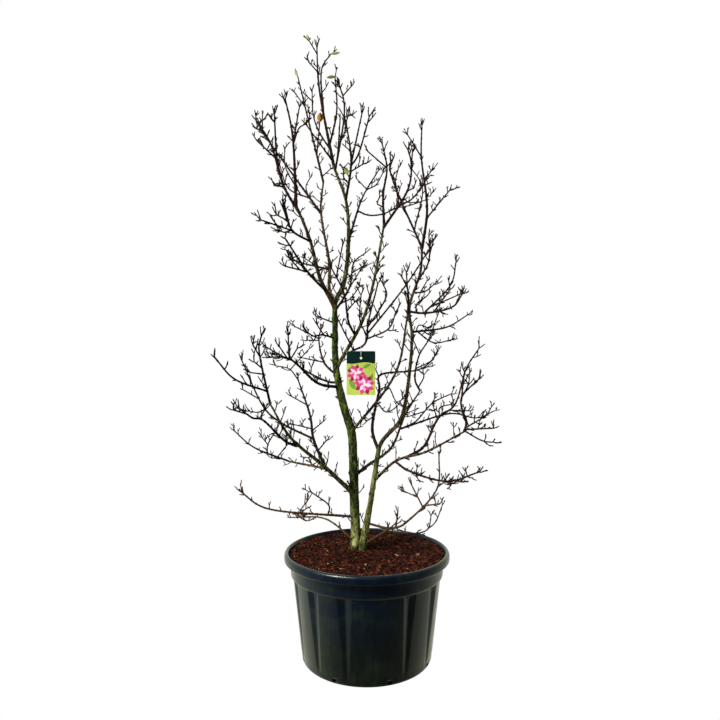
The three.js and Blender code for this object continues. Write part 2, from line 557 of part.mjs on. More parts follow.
// A limb or shoot as a tube record: it leaves its carrier's middle line, or goes on from
// the carrier's end. Where its way would touch another limb, its tip moves deeper or nearer.
function growTube(carrier, way, tipDepth, r0, r1, mass, slack) {
  const foot = footOn(carrier, way[0][0], way[0][1]);
  const goesOn = foot.end && mass !== carrier.mass;
  const end = carrier.points[carrier.points.length - 1];
  const before = carrier.points[carrier.points.length - 2];
  const heading = end.clone().sub(before).normalize();
  const start = goesOn ? end.clone().addScaledVector(heading, GAP) : foot.p;
  const free = Math.max(...carrier.radii.slice(foot.i - 1, foot.i + 1)) * 1.6 + r0 * 2 + 24;
  let points;
  for (let k = 0; k < DEPTH_TRIES; k++) {
    const shift = DEPTH_STEP * Math.ceil(k / 2) * (k % 2 ? 1 : -1);
    points = wayPlaces(way, start.y, tipDepth * CROWN_DEPTH + shift);
    points[0] = start;
    points = trace(points, slack);
    if (isClear(points, r0, free, mass)) break;
  }
  const run = [0];
  for (let i = 1; i < points.length; i++) run.push(run[i - 1] + points[i].distanceTo(points[i - 1]));
  const radii = run.map((length) => r0 + (r1 - r0) * (length / run[run.length - 1]));
  if (mass === carrier.mass) pointRoot(points, radii, carrier.radii[foot.i] + r0);
  return { points, radii, mass, carrier, firstTangent: goesOn ? heading : null };
}

// A root sunk in its carrier as a point, full width once it is out.
function pointRoot(points, radii, reach) {
  const length = Math.min(reach, 0.4 * points[1].distanceTo(points[0]));
  const out = points[1].clone().sub(points[0]).setLength(length);
  points.splice(1, 0, points[0].clone().add(out));
  radii.unshift(0);
}

// Number of sides by girth.
function sidesFor(radius) {
  if (radius > 16) return 12;
  if (radius > 8.2) return 8;
  return radius > 6.2 ? 5 : 3;
}

// A tube's solid, swollen by extra all round.
function tubeBody(tube, extra = 0) {
  const sides = tube.sides;
  const grow = extra / Math.cos(Math.PI / sides);
  const points = tube.points.map((p) => p.clone());
  if (extra) {
    const n = points.length;
    const first = points[0].clone().sub(points[1]).normalize();
    const last = points[n - 1].clone().sub(points[n - 2]).normalize();
    if (tube.firstTangent) first.copy(tube.firstTangent).negate();
    points[0].addScaledVector(first, extra);
    points[n - 1].addScaledVector(last, extra);
  }
  return tubeSolid(points, tube.radii.map((r) => (r ? r + grow : 0)), sides, tube.firstTangent);
}

// Short spurs along a shoot, turned by the golden angle, and one shoot more at its tip.
function growSpurs(shoot, dice, mass) {
  const found = [];
  const points = shoot.points;
  const lengths = [0];
  for (let i = 1; i < points.length; i++) lengths.push(lengths[i - 1] + points[i].distanceTo(points[i - 1]));
  const whole = lengths[lengths.length - 1];
  const at = (s) => {
    let i = 1;
    while (i < lengths.length - 1 && lengths[i] < s) i++;
    const f = Math.min(1, (s - lengths[i - 1]) / (lengths[i] - lengths[i - 1]));
    const tangent = points[i].clone().sub(points[i - 1]).normalize();
    return { p: points[i - 1].clone().lerp(points[i], f), tangent };
  };
  const twig = (s, lean, turn, length) => {
    const { p, tangent } = at(s);
    const across = new THREE.Vector3(0.3, 1, 0.2).cross(tangent).normalize();
    const over = tangent.clone().cross(across);
    const heading = tangent.clone().multiplyScalar(Math.cos(lean));
    heading.addScaledVector(across, Math.sin(lean) * Math.cos(turn));
    heading.addScaledVector(over, Math.sin(lean) * Math.sin(turn));
    heading.z += 0.25;
    heading.normalize();
    const tip = p.clone().addScaledVector(heading, length);
    const out = p.clone().addScaledVector(heading, shoot.radii[0] + TWIG_RADIUS + 1);
    const tube = { points: [p, out, tip], radii: [0, TWIG_RADIUS, 0], mass, carrier: shoot, sides: 3 };
    if (isClear([p, tip], TWIG_RADIUS, Math.max(...shoot.radii) + TWIG_RADIUS + 7, mass)) {
      addTube(tube);
      found.push(tube);
    }
  };
  let turn = dice() * 6.28;
  for (let s = SPUR_STEP * (0.5 + 0.5 * dice()); s < whole - 30; s += SPUR_STEP * (0.75 + 0.5 * dice())) {
    turn += GOLDEN_TURN;
    const length = SPUR_LENGTH[0] + (SPUR_LENGTH[1] - SPUR_LENGTH[0]) * dice();
    twig(s, 0.75 + 0.3 * dice(), turn, length);
  }
  turn = dice() * 3.14;
  const length = FORK_LENGTH[0] + (FORK_LENGTH[1] - FORK_LENGTH[0]) * dice();
  twig(whole - 3, 0.45 + 0.3 * dice(), turn, length);
  return found;
}

// A leaf of eight faces, sunk into the shoot's tip.
function leafSolid(root, heading, length, width) {
  const along = heading.clone().normalize();
  const side = along.clone().cross(new THREE.Vector3(0, 1, 0.3)).normalize();
  const face = side.clone().cross(along).normalize();
  const thick = Math.max(1, length / 40);
  const spot = (l, s, f) =>
    root.clone().addScaledVector(along, l).addScaledVector(side, s).addScaledVector(face, f);
  const rim = [
    spot(-4, 0, 0), spot(length * 0.45, width / 2, 2),
    spot(length, 0, 5), spot(length * 0.45, -width / 2, 2),
  ];
  const top = spot(length * 0.4, 0, thick);
  const low = spot(length * 0.4, 0, -thick);
  const position = [...rim, top, low].flatMap((v) => [v.x, v.y, v.z]);
  const index = [];
  for (let k = 0; k < 4; k++) {
    index.push(k, (k + 1) % 4, 4);
    index.push((k + 1) % 4, k, 5);
  }
  const made = solidFrom(position, index);
  return made.volume() > 0 ? made : solidFrom(position, index.toReversed());
}

// How far the flutes press the wall in at an angle.
function fluteAt(angle) {
  const { euclideanModulo } = THREE.MathUtils;
  const offs = fluteTurns().map((turn) => Math.abs(euclideanModulo(angle - turn + 180, 360) - 180));
  const off = Math.min(...offs);
  const half = POT.fluteWidth / 2;
  return POT.fluteDepth * (1 - Math.min(1, Math.max(0, (off - half + POT.fluteSlope) / POT.fluteSlope)));
}

// The flutes stand evenly on both sides of two plain panels, one in front and one behind.
function fluteTurns() {
  const turns = [];
  for (const side of [-1, 1])
    for (let k = 0; k < POT.flutes / 2; k++)
      turns.push(POT.panelTurn + side * (POT.panelWidth / 2 + FLUTE_PITCH * k));
  return turns;
}

// The angles at which the wall has an edge, all round.
function potAngles() {
  const half = POT.fluteWidth / 2;
  const angles = [];
  for (const turn of fluteTurns())
    angles.push(turn - half, turn - half + POT.fluteSlope, turn + half - POT.fluteSlope, turn + half);
  for (const middle of [POT.panelTurn, POT.panelTurn + 180])
    for (const off of [-POT.panelWidth / 6, 0, POT.panelWidth / 6]) angles.push(middle + off);
  for (const side of [-1, 1])
    for (let k = 1; k < POT.flutes / 2; k++)
      angles.push(POT.panelTurn + side * (POT.panelWidth / 2 + FLUTE_PITCH * (k - 0.5)));
  return angles.sort((one, two) => one - two);
}

// A solid turned about the middle from rows of [radius, height, whether the flutes press it in].
function turnedSolid(rows) {
  const angles = potAngles();
  const n = angles.length;
  const position = [0, 0, rows[0][1], 0, 0, rows[rows.length - 1][1]];
  for (const [radius, height, pressed] of rows)
    for (const angle of angles) {
      const r = radius - (pressed ? fluteAt(angle) : 0);
      const turn = THREE.MathUtils.degToRad(angle);
      position.push(r * Math.sin(turn), -r * Math.cos(turn), height);
    }
  const index = [];
  for (let k = 0; k < n; k++) {
    const next = (k + 1) % n;
    const top = 2 + (rows.length - 1) * n;
    index.push(2 + next, 2 + k, 0, top + k, top + next, 1);
    for (let a = 2; a < top; a += n)
      index.push(a + k, a + next, a + n + next, a + k, a + n + next, a + n + k);
  }
  return solidFrom(position, index);
}

function potSolid() {
  const foot = POT.footRadius;
  const lipFoot = POT.height - POT.lipDepth;
  let pot = turnedSolid([
    [foot - POT.footRound, 0], [foot, POT.footRound], [foot + 5, POT.footRound + 32, true],
    [POT.wallTopRadius, POT.collarFoot - 2, true], [POT.collarRadius - 2, POT.collarFoot],
    [POT.collarRadius, lipFoot], [POT.rimRadius, lipFoot + 4], [POT.rimRadius, POT.height - 13],
    [POT.rimRadius - 5, POT.height - 3], [(POT.rimRadius + POT.mouthRadius) / 2, POT.height],
    [POT.mouthRadius, POT.height - 8], [POT.kneeRadius, POT.kneeHeight], [POT.wellRadius, POT.floor],
  ]);
  for (let k = 0; k < POT.slots; k++) {
    const slot = new THREE.BoxGeometry(POT.slotWidth, POT.slotDepth, POT.slotHeight);
    slot.translate(0, -POT.footRadius, 0);
    slot.rotateZ(THREE.MathUtils.degToRad(POT.slotTurn + (360 / POT.slots) * k));
    pot = pot.subtract(solidOf(slot));
  }
  return pot;
}

// The compost fills the pot to the soil level.
function soilSolid() {
  const rise = (SOIL_LEVEL - POT.kneeHeight) / (POT.height - 8 - POT.kneeHeight);
  const topRadius = POT.kneeRadius + (POT.mouthRadius - POT.kneeRadius) * rise;
  return turnedSolid([
    [POT.wellRadius - GAP, POT.floor + GAP], [POT.kneeRadius - GAP, POT.kneeHeight],
    [topRadius - GAP, SOIL_LEVEL],
  ]);
}

// Grow the stems, the boughs and the shoots, then the spurs, each clear of the rest.
const limbs = new Map();

for (const { name, depth, way, girth } of STEMS) {
  const points = trace(wayPlaces(way, depth[0], depth[1]), 1.5);
  points[0].z = SOIL_LEVEL + GAP;
  const radii = points.map((p) => girthAt(girth, EYE.height + (p.z - EYE.height) / (1 + p.y / EYE.distance)));
  const tube = { points, radii, mass: name, firstTangent: new THREE.Vector3(0, 0, 1), sides: 12 };
  limbs.set(name, { tubes: [tube], colour: COLOURS.stem });
  addTube(tube);
}

for (const [name, on, way, back, r0, r1] of BOUGHS) {
  const tube = growTube(limbs.get(on).tubes[0], way, back, r0, r1, name, 2.2);
  tube.sides = sidesFor(r0);
  limbs.set(name, { tubes: [tube], colour: COLOURS.bough });
  addTube(tube);
}

for (const [name, on, shoots] of MASSES) {
  const tubes = [];
  for (const [from, way, back, r0, r1] of shoots) {
    const carrier = from < 0 ? limbs.get(on).tubes[0] : tubes[from];
    const tube = growTube(carrier, way, back, r0, r1, name, 5);
    tube.sides = sidesFor(r0);
    tubes.push(tube);
    addTube(tube);
  }
  limbs.set(name, { tubes, shoots: tubes.length, colour: COLOURS.twig });
}

MASSES.forEach(([name], k) => {
  const mass = limbs.get(name);
  const dice = makeDice(7001 + 97 * k);
  const shoots = mass.tubes.slice();
  for (const shoot of shoots) mass.tubes.push(...growSpurs(shoot, dice, name));
});

// Whether two limbs come near enough to need a cut between them.
function comeNear(one, two) {
  for (const a of one.tubes)
    for (const b of two.tubes)
      for (let i = 1; i < a.points.length; i++)
        for (let k = 1; k < b.points.length; k++) {
          const gap = segmentDistance(a.points[i - 1], a.points[i], b.points[k - 1], b.points[k]);
          if (gap < a.radii[i - 1] + b.radii[k - 1] + 1.5) return true;
        }
  return false;
}

function limbSolid(name, limb, done) {
  let solid = join(limb.tubes.map((tube) => tubeBody(tube)));
  for (const [mass, shoot, length, width, [across, up, depth]] of LEAVES) {
    if (mass !== name) continue;
    const points = limb.tubes[shoot].points;
    const heading = new THREE.Vector3(across, depth, up);
    solid = solid.add(leafSolid(points[points.length - 1], heading, length, width));
  }
  for (const other of done)
    if (comeNear(limb, other)) solid = solid.subtract(join(other.tubes.map((tube) => tubeBody(tube, GAP))));
  return largest(solid);
}

function roundedCard() {
  const w = LABEL.width / 2;
  const h = LABEL.height / 2;
  const c = LABEL.corner;
  const shape = new THREE.Shape();
  shape.moveTo(-w + c, -h);
  shape.lineTo(w - c, -h);
  shape.absarc(w - c, -h + c, c, -Math.PI / 2, 0);
  shape.absarc(w - c, h - c, c, 0, Math.PI / 2);
  shape.absarc(-w + c, h - c, c, Math.PI / 2, Math.PI);
  shape.absarc(-w + c, -h + c, c, Math.PI, Math.PI * 1.5);
  const hole = new THREE.Path();
  hole.absarc(0, h - LABEL.holeDrop, LABEL.hole, 0, Math.PI * 2, true);
  shape.holes.push(hole);
  const options = { depth: LABEL.thick, bevelEnabled: false, curveSegments: 6 };
  const card = new THREE.ExtrudeGeometry(shape, options);
  card.translate(0, 0, -LABEL.thick / 2);
  card.rotateX(Math.PI / 2);
  return card;
}

// The tie is a flat loop of square section, as long as it is round the twig and down to
// the card's hole.
function tieSolid(hang, top, half) {
  const rim = (shape, radius) => {
    shape.absarc(0, top - half, radius, 0, Math.PI);
    shape.absarc(0, top - LABEL.drop, radius, Math.PI, Math.PI * 2);
    return shape;
  };
  const shape = rim(new THREE.Shape(), half + LABEL.tie);
  shape.holes.push(rim(new THREE.Path(), half - LABEL.tie));
  const options = { depth: 2 * LABEL.tie, bevelEnabled: false, curveSegments: 5 };
  const tie = new THREE.ExtrudeGeometry(shape, options);
  const [x, y, z] = [new THREE.Vector3(1, 0, 0), new THREE.Vector3(0, 1, 0), new THREE.Vector3(0, 0, 1)];
  tie.applyMatrix4(new THREE.Matrix4().makeBasis(y, z, x));
  tie.translate(hang.x - LABEL.tie, hang.y, 0);
  return solidOf(tie);
}

// The card hangs from the label twigs: its tie is lifted until it just clears the twig.
function labelSolids() {
  const twig = limbs.get("label_twigs").tubes[0];
  const hang = footOn(twig, LABEL.across, LABEL.hangsAt).p;
  const around = tubeBody(twig, GAP);
  const slab = wasm.Manifold.cube([2 * LABEL.tie, 60, 60], true).translate(hang.toArray());
  const seat = slab.intersect(around).boundingBox();
  const half = Math.max(hang.y - seat.min[1], seat.max[1] - hang.y) + GAP + LABEL.tie;
  let top = seat.max[2] + LABEL.tie;
  while (tieSolid(hang, top, half).intersect(around).volume() > 0) top += GAP / 2;
  const holeMiddle = top - LABEL.drop - half + LABEL.tie + 2 * GAP - LABEL.hole;
  const card = roundedCard();
  card.translate(hang.x, hang.y, holeMiddle - LABEL.height / 2 + LABEL.holeDrop);
  return { tie: tieSolid(hang, top, half), card: solidOf(card) };
}

function meshOf(name, solid, colour, roughness, metalness = 0) {
  const { numProp, vertProperties, triVerts } = solid.getMesh();
  const geometry = new THREE.BufferGeometry();
  const position = [];
  for (let i = 0; i < vertProperties.length; i += numProp) position.push(...vertProperties.slice(i, i + 3));
  geometry.setAttribute("position", new THREE.Float32BufferAttribute(position, 3));
  geometry.setIndex([...triVerts]);
  geometry.computeVertexNormals();
  const material = new THREE.MeshStandardMaterial({ color: colour, roughness, metalness });
  const mesh = new THREE.Mesh(geometry, material);
  mesh.name = name;
  return mesh;
}

const group = new THREE.Group();
group.add(meshOf("pot", potSolid(), COLOURS.plastic, 0.45));
group.add(meshOf("compost", soilSolid(), COLOURS.compost, 0.95));

const done = [];
for (const [name, limb] of limbs) {
  group.add(meshOf(name, limbSolid(name, limb, done), limb.colour, 0.85));
  done.push(limb);
}

const { tie, card } = labelSolids();
group.add(meshOf("label_card", card, COLOURS.card, 0.4));
group.add(meshOf("label_tie", tie, COLOURS.tie, 0.5));

export default group;
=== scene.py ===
# A potted magnolia in winter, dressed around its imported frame: a bare shrub of two
# lichened stems in a black nursery pot, with a printed card tied to a twig.
# The limbs and twigs grow by the rule that made the solids, in millimetres, and the
# meshes are made in metres. +Z is up and -Y is the front.
import math

import bpy
import numpy as np
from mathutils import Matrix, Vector, noise


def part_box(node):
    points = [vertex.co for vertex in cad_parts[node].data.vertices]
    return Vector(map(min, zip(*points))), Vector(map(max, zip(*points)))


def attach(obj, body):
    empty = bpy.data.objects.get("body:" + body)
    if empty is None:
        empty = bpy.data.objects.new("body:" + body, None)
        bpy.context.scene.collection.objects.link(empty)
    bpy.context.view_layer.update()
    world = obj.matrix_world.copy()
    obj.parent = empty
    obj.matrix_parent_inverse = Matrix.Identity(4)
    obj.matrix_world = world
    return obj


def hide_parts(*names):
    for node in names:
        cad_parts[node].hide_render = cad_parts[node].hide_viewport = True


bl_info = {
    "name": "Potted magnolia",
    "version": (1, 0, 0),
    "blender": (4, 5, 0),
    "location": "View3D > Sidebar > Magnolia",
    "description": "Dresses a bare potted magnolia around its frame",
    "category": "Object",
}

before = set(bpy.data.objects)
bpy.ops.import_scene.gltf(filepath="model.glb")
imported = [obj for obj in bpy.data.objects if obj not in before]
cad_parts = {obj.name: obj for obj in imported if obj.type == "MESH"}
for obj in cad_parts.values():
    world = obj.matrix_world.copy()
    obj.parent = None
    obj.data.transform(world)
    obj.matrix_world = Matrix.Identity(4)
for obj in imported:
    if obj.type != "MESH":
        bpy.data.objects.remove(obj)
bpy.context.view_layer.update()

MM = 0.001
# The air between two pieces that meet.
GAP = 0.35

# The eye that the limbs' places are sighted from: how far it is in front of the stems, and how high.
EYE_DISTANCE = 2830.0
EYE_HEIGHT = 1348.0

# The photograph: its width and focal length in pixels, how far its axis lies right of the middle,
# and how many degrees the camera looks up.
PHOTO_WIDTH = 720.0
FOCAL_LENGTH = 545.0
AXIS_OFFSET = 6.9
PITCH = 2.77

# The pot, with its turns in degrees. Twelve flutes stand evenly on both sides of two plain panels,
# one in front and one behind.
SOIL_LEVEL = 505.0
FLUTES = 12
PANEL_TURN = 8.0
PANEL_WIDTH = 48.0
FLUTE_PITCH = (360 - 2 * PANEL_WIDTH) / (FLUTES - 2)
FLUTE_TOP = 406
# A flute's half width at its foot, and how much wider it is at its top.
FLUTE_HALF_TURN, FLUTE_GAIN = 2.4, 3.0
# Eight drain slots stand round the foot, each cut back to a radius between two heights.
SLOTS = 8
SLOT_TURN = 18.3
SLOT_HALF_TURN = 2.3
SLOT_LOW, SLOT_HIGH = 3, 12
SLOT_BACK = 303
# Two thin mould seams run up the wall.
SEAM_TURN = 3.7
SEAM_HALF_TURN = 0.45
SEAM_RISE = 0.7
# The rolled lip starts past this radius.
LIP_START = 393
POT_COLUMNS = 720

# The compost: how far its bed and its chips reach from the middle.
BED_RADIUS = 393
BED_COLUMNS = 160
CHIP_REACH = 386

# How the limbs are drawn: the step along a smooth line, the reach to both sides that gives its
# tangent, and how far the kinked line may stray from it.
LINE_STEP = 22
TANGENT_REACH = 4
STEM_SLACK = 1.5
BOUGH_SLACK = 2.2
SHOOT_SLACK = 5

# The twig rule that the solids grew by.
SPUR_STEP = 175.0
SPUR_LENGTH = (26.0, 58.0)
FORK_LENGTH = (30.0, 52.0)
GOLDEN_TURN = 2.39996
SPUR_RISE = 0.25
TWIG_RADIUS = 2.7
# A new shoot keeps this far from others, but for a free length beside its carrier. It is moved in
# depth, step by step, until it does.
CLEARANCE = 3.0
FREE_LENGTH = 24
CROWN_DEPTH = 1.5
DEPTH_STEP = 26.0
DEPTH_TRIES = 15
# A limb that starts this near its carrier's tip goes on from the tip. Its start is looked for in so
# many steps along each part of the carrier.
TIP_REACH = 12
SIGHT_STEPS = 40

# The seeds of the random streams: the first one, and the step to the next limb's.
SEEDS = {"growth": (7001, 97), "sprays": (90001, 13), "limb_spurs": (5501, 31), "bark": (3301, 7),
         "chips": (4211, 0)}

# Each stem: its depth at foot and tip, its way as sighted places across and up, its girth by height.
STEMS = [
    ("main_stem", (45, 0),
     ((-59, 517), (-57, 600), (-64, 760), (-69, 930), (-79, 1105), (-106, 1200), (-134, 1300), (-154, 1400),
      (-165, 1510), (-166, 1660), (-168, 1790)),
     ((517, 29), (560, 26), (700, 24), (950, 23), (1100, 21.5), (1300, 20), (1500, 17), (1790, 13.5))),
    ("second_stem", (22, 0),
     ((-24, 517), (-10, 600), (18, 750), (40, 890), (57, 1000), (62, 1030)),
     ((517, 20), (550, 17), (600, 15.5), (800, 14), (1030, 11.5))),
]

# Each bough: what it stands on, its way, its depth at the tip, and its radius at foot and tip.
BOUGHS = [
    ("low_left_bough", "main_stem",
     ((-80, 792), (-215, 932), (-395, 1085), (-500, 1255)), -200, 12.5, 4.2),
    ("left_rear_bough", "low_left_bough",
     ((-208, 925), (-400, 962)), 170, 6.4, 4.5),
    ("right_bough", "second_stem",
     ((62, 1030), (85, 1075), (165, 1160), (192, 1230), (235, 1600), (222, 1760), (281, 1950),
      (290, 2070)), 90, 10.5, 6),
    ("low_right_bough", "second_stem",
     ((48, 862), (150, 965), (300, 1009), (500, 1113)), -150, 7.5, 4.2),
    ("cross_bough", "main_stem",
     ((-52, 882), (-5, 935), (110, 1015), (145, 1065), (192, 1190), (275, 1325)), 200, 8.5, 4.2),
    ("label_bough", "main_stem",
     ((-60, 1112), (150, 1420), (214, 1725)), -90, 7.5, 5),
    ("middle_bough", "main_stem",
     ((-150, 1445), (-25, 1685), (30, 1870), (90, 2195)), -110, 10, 5.2),
    ("crown_left_bough", "main_stem",
     ((-168, 1765), (-242, 1905), (-300, 2120), (-372, 2300)), -180, 11.5, 6),
    ("crown_rear_bough", "main_stem",
     ((-168, 1775), (-197, 1860), (-196, 1980), (-243, 2280), (-230, 2425)), 200, 9, 5),
    ("leader_bough", "main_stem",
     ((-168, 1790), (-120, 1890), (-104, 2290), (-176, 2515)), -10, 13, 6.5),
]

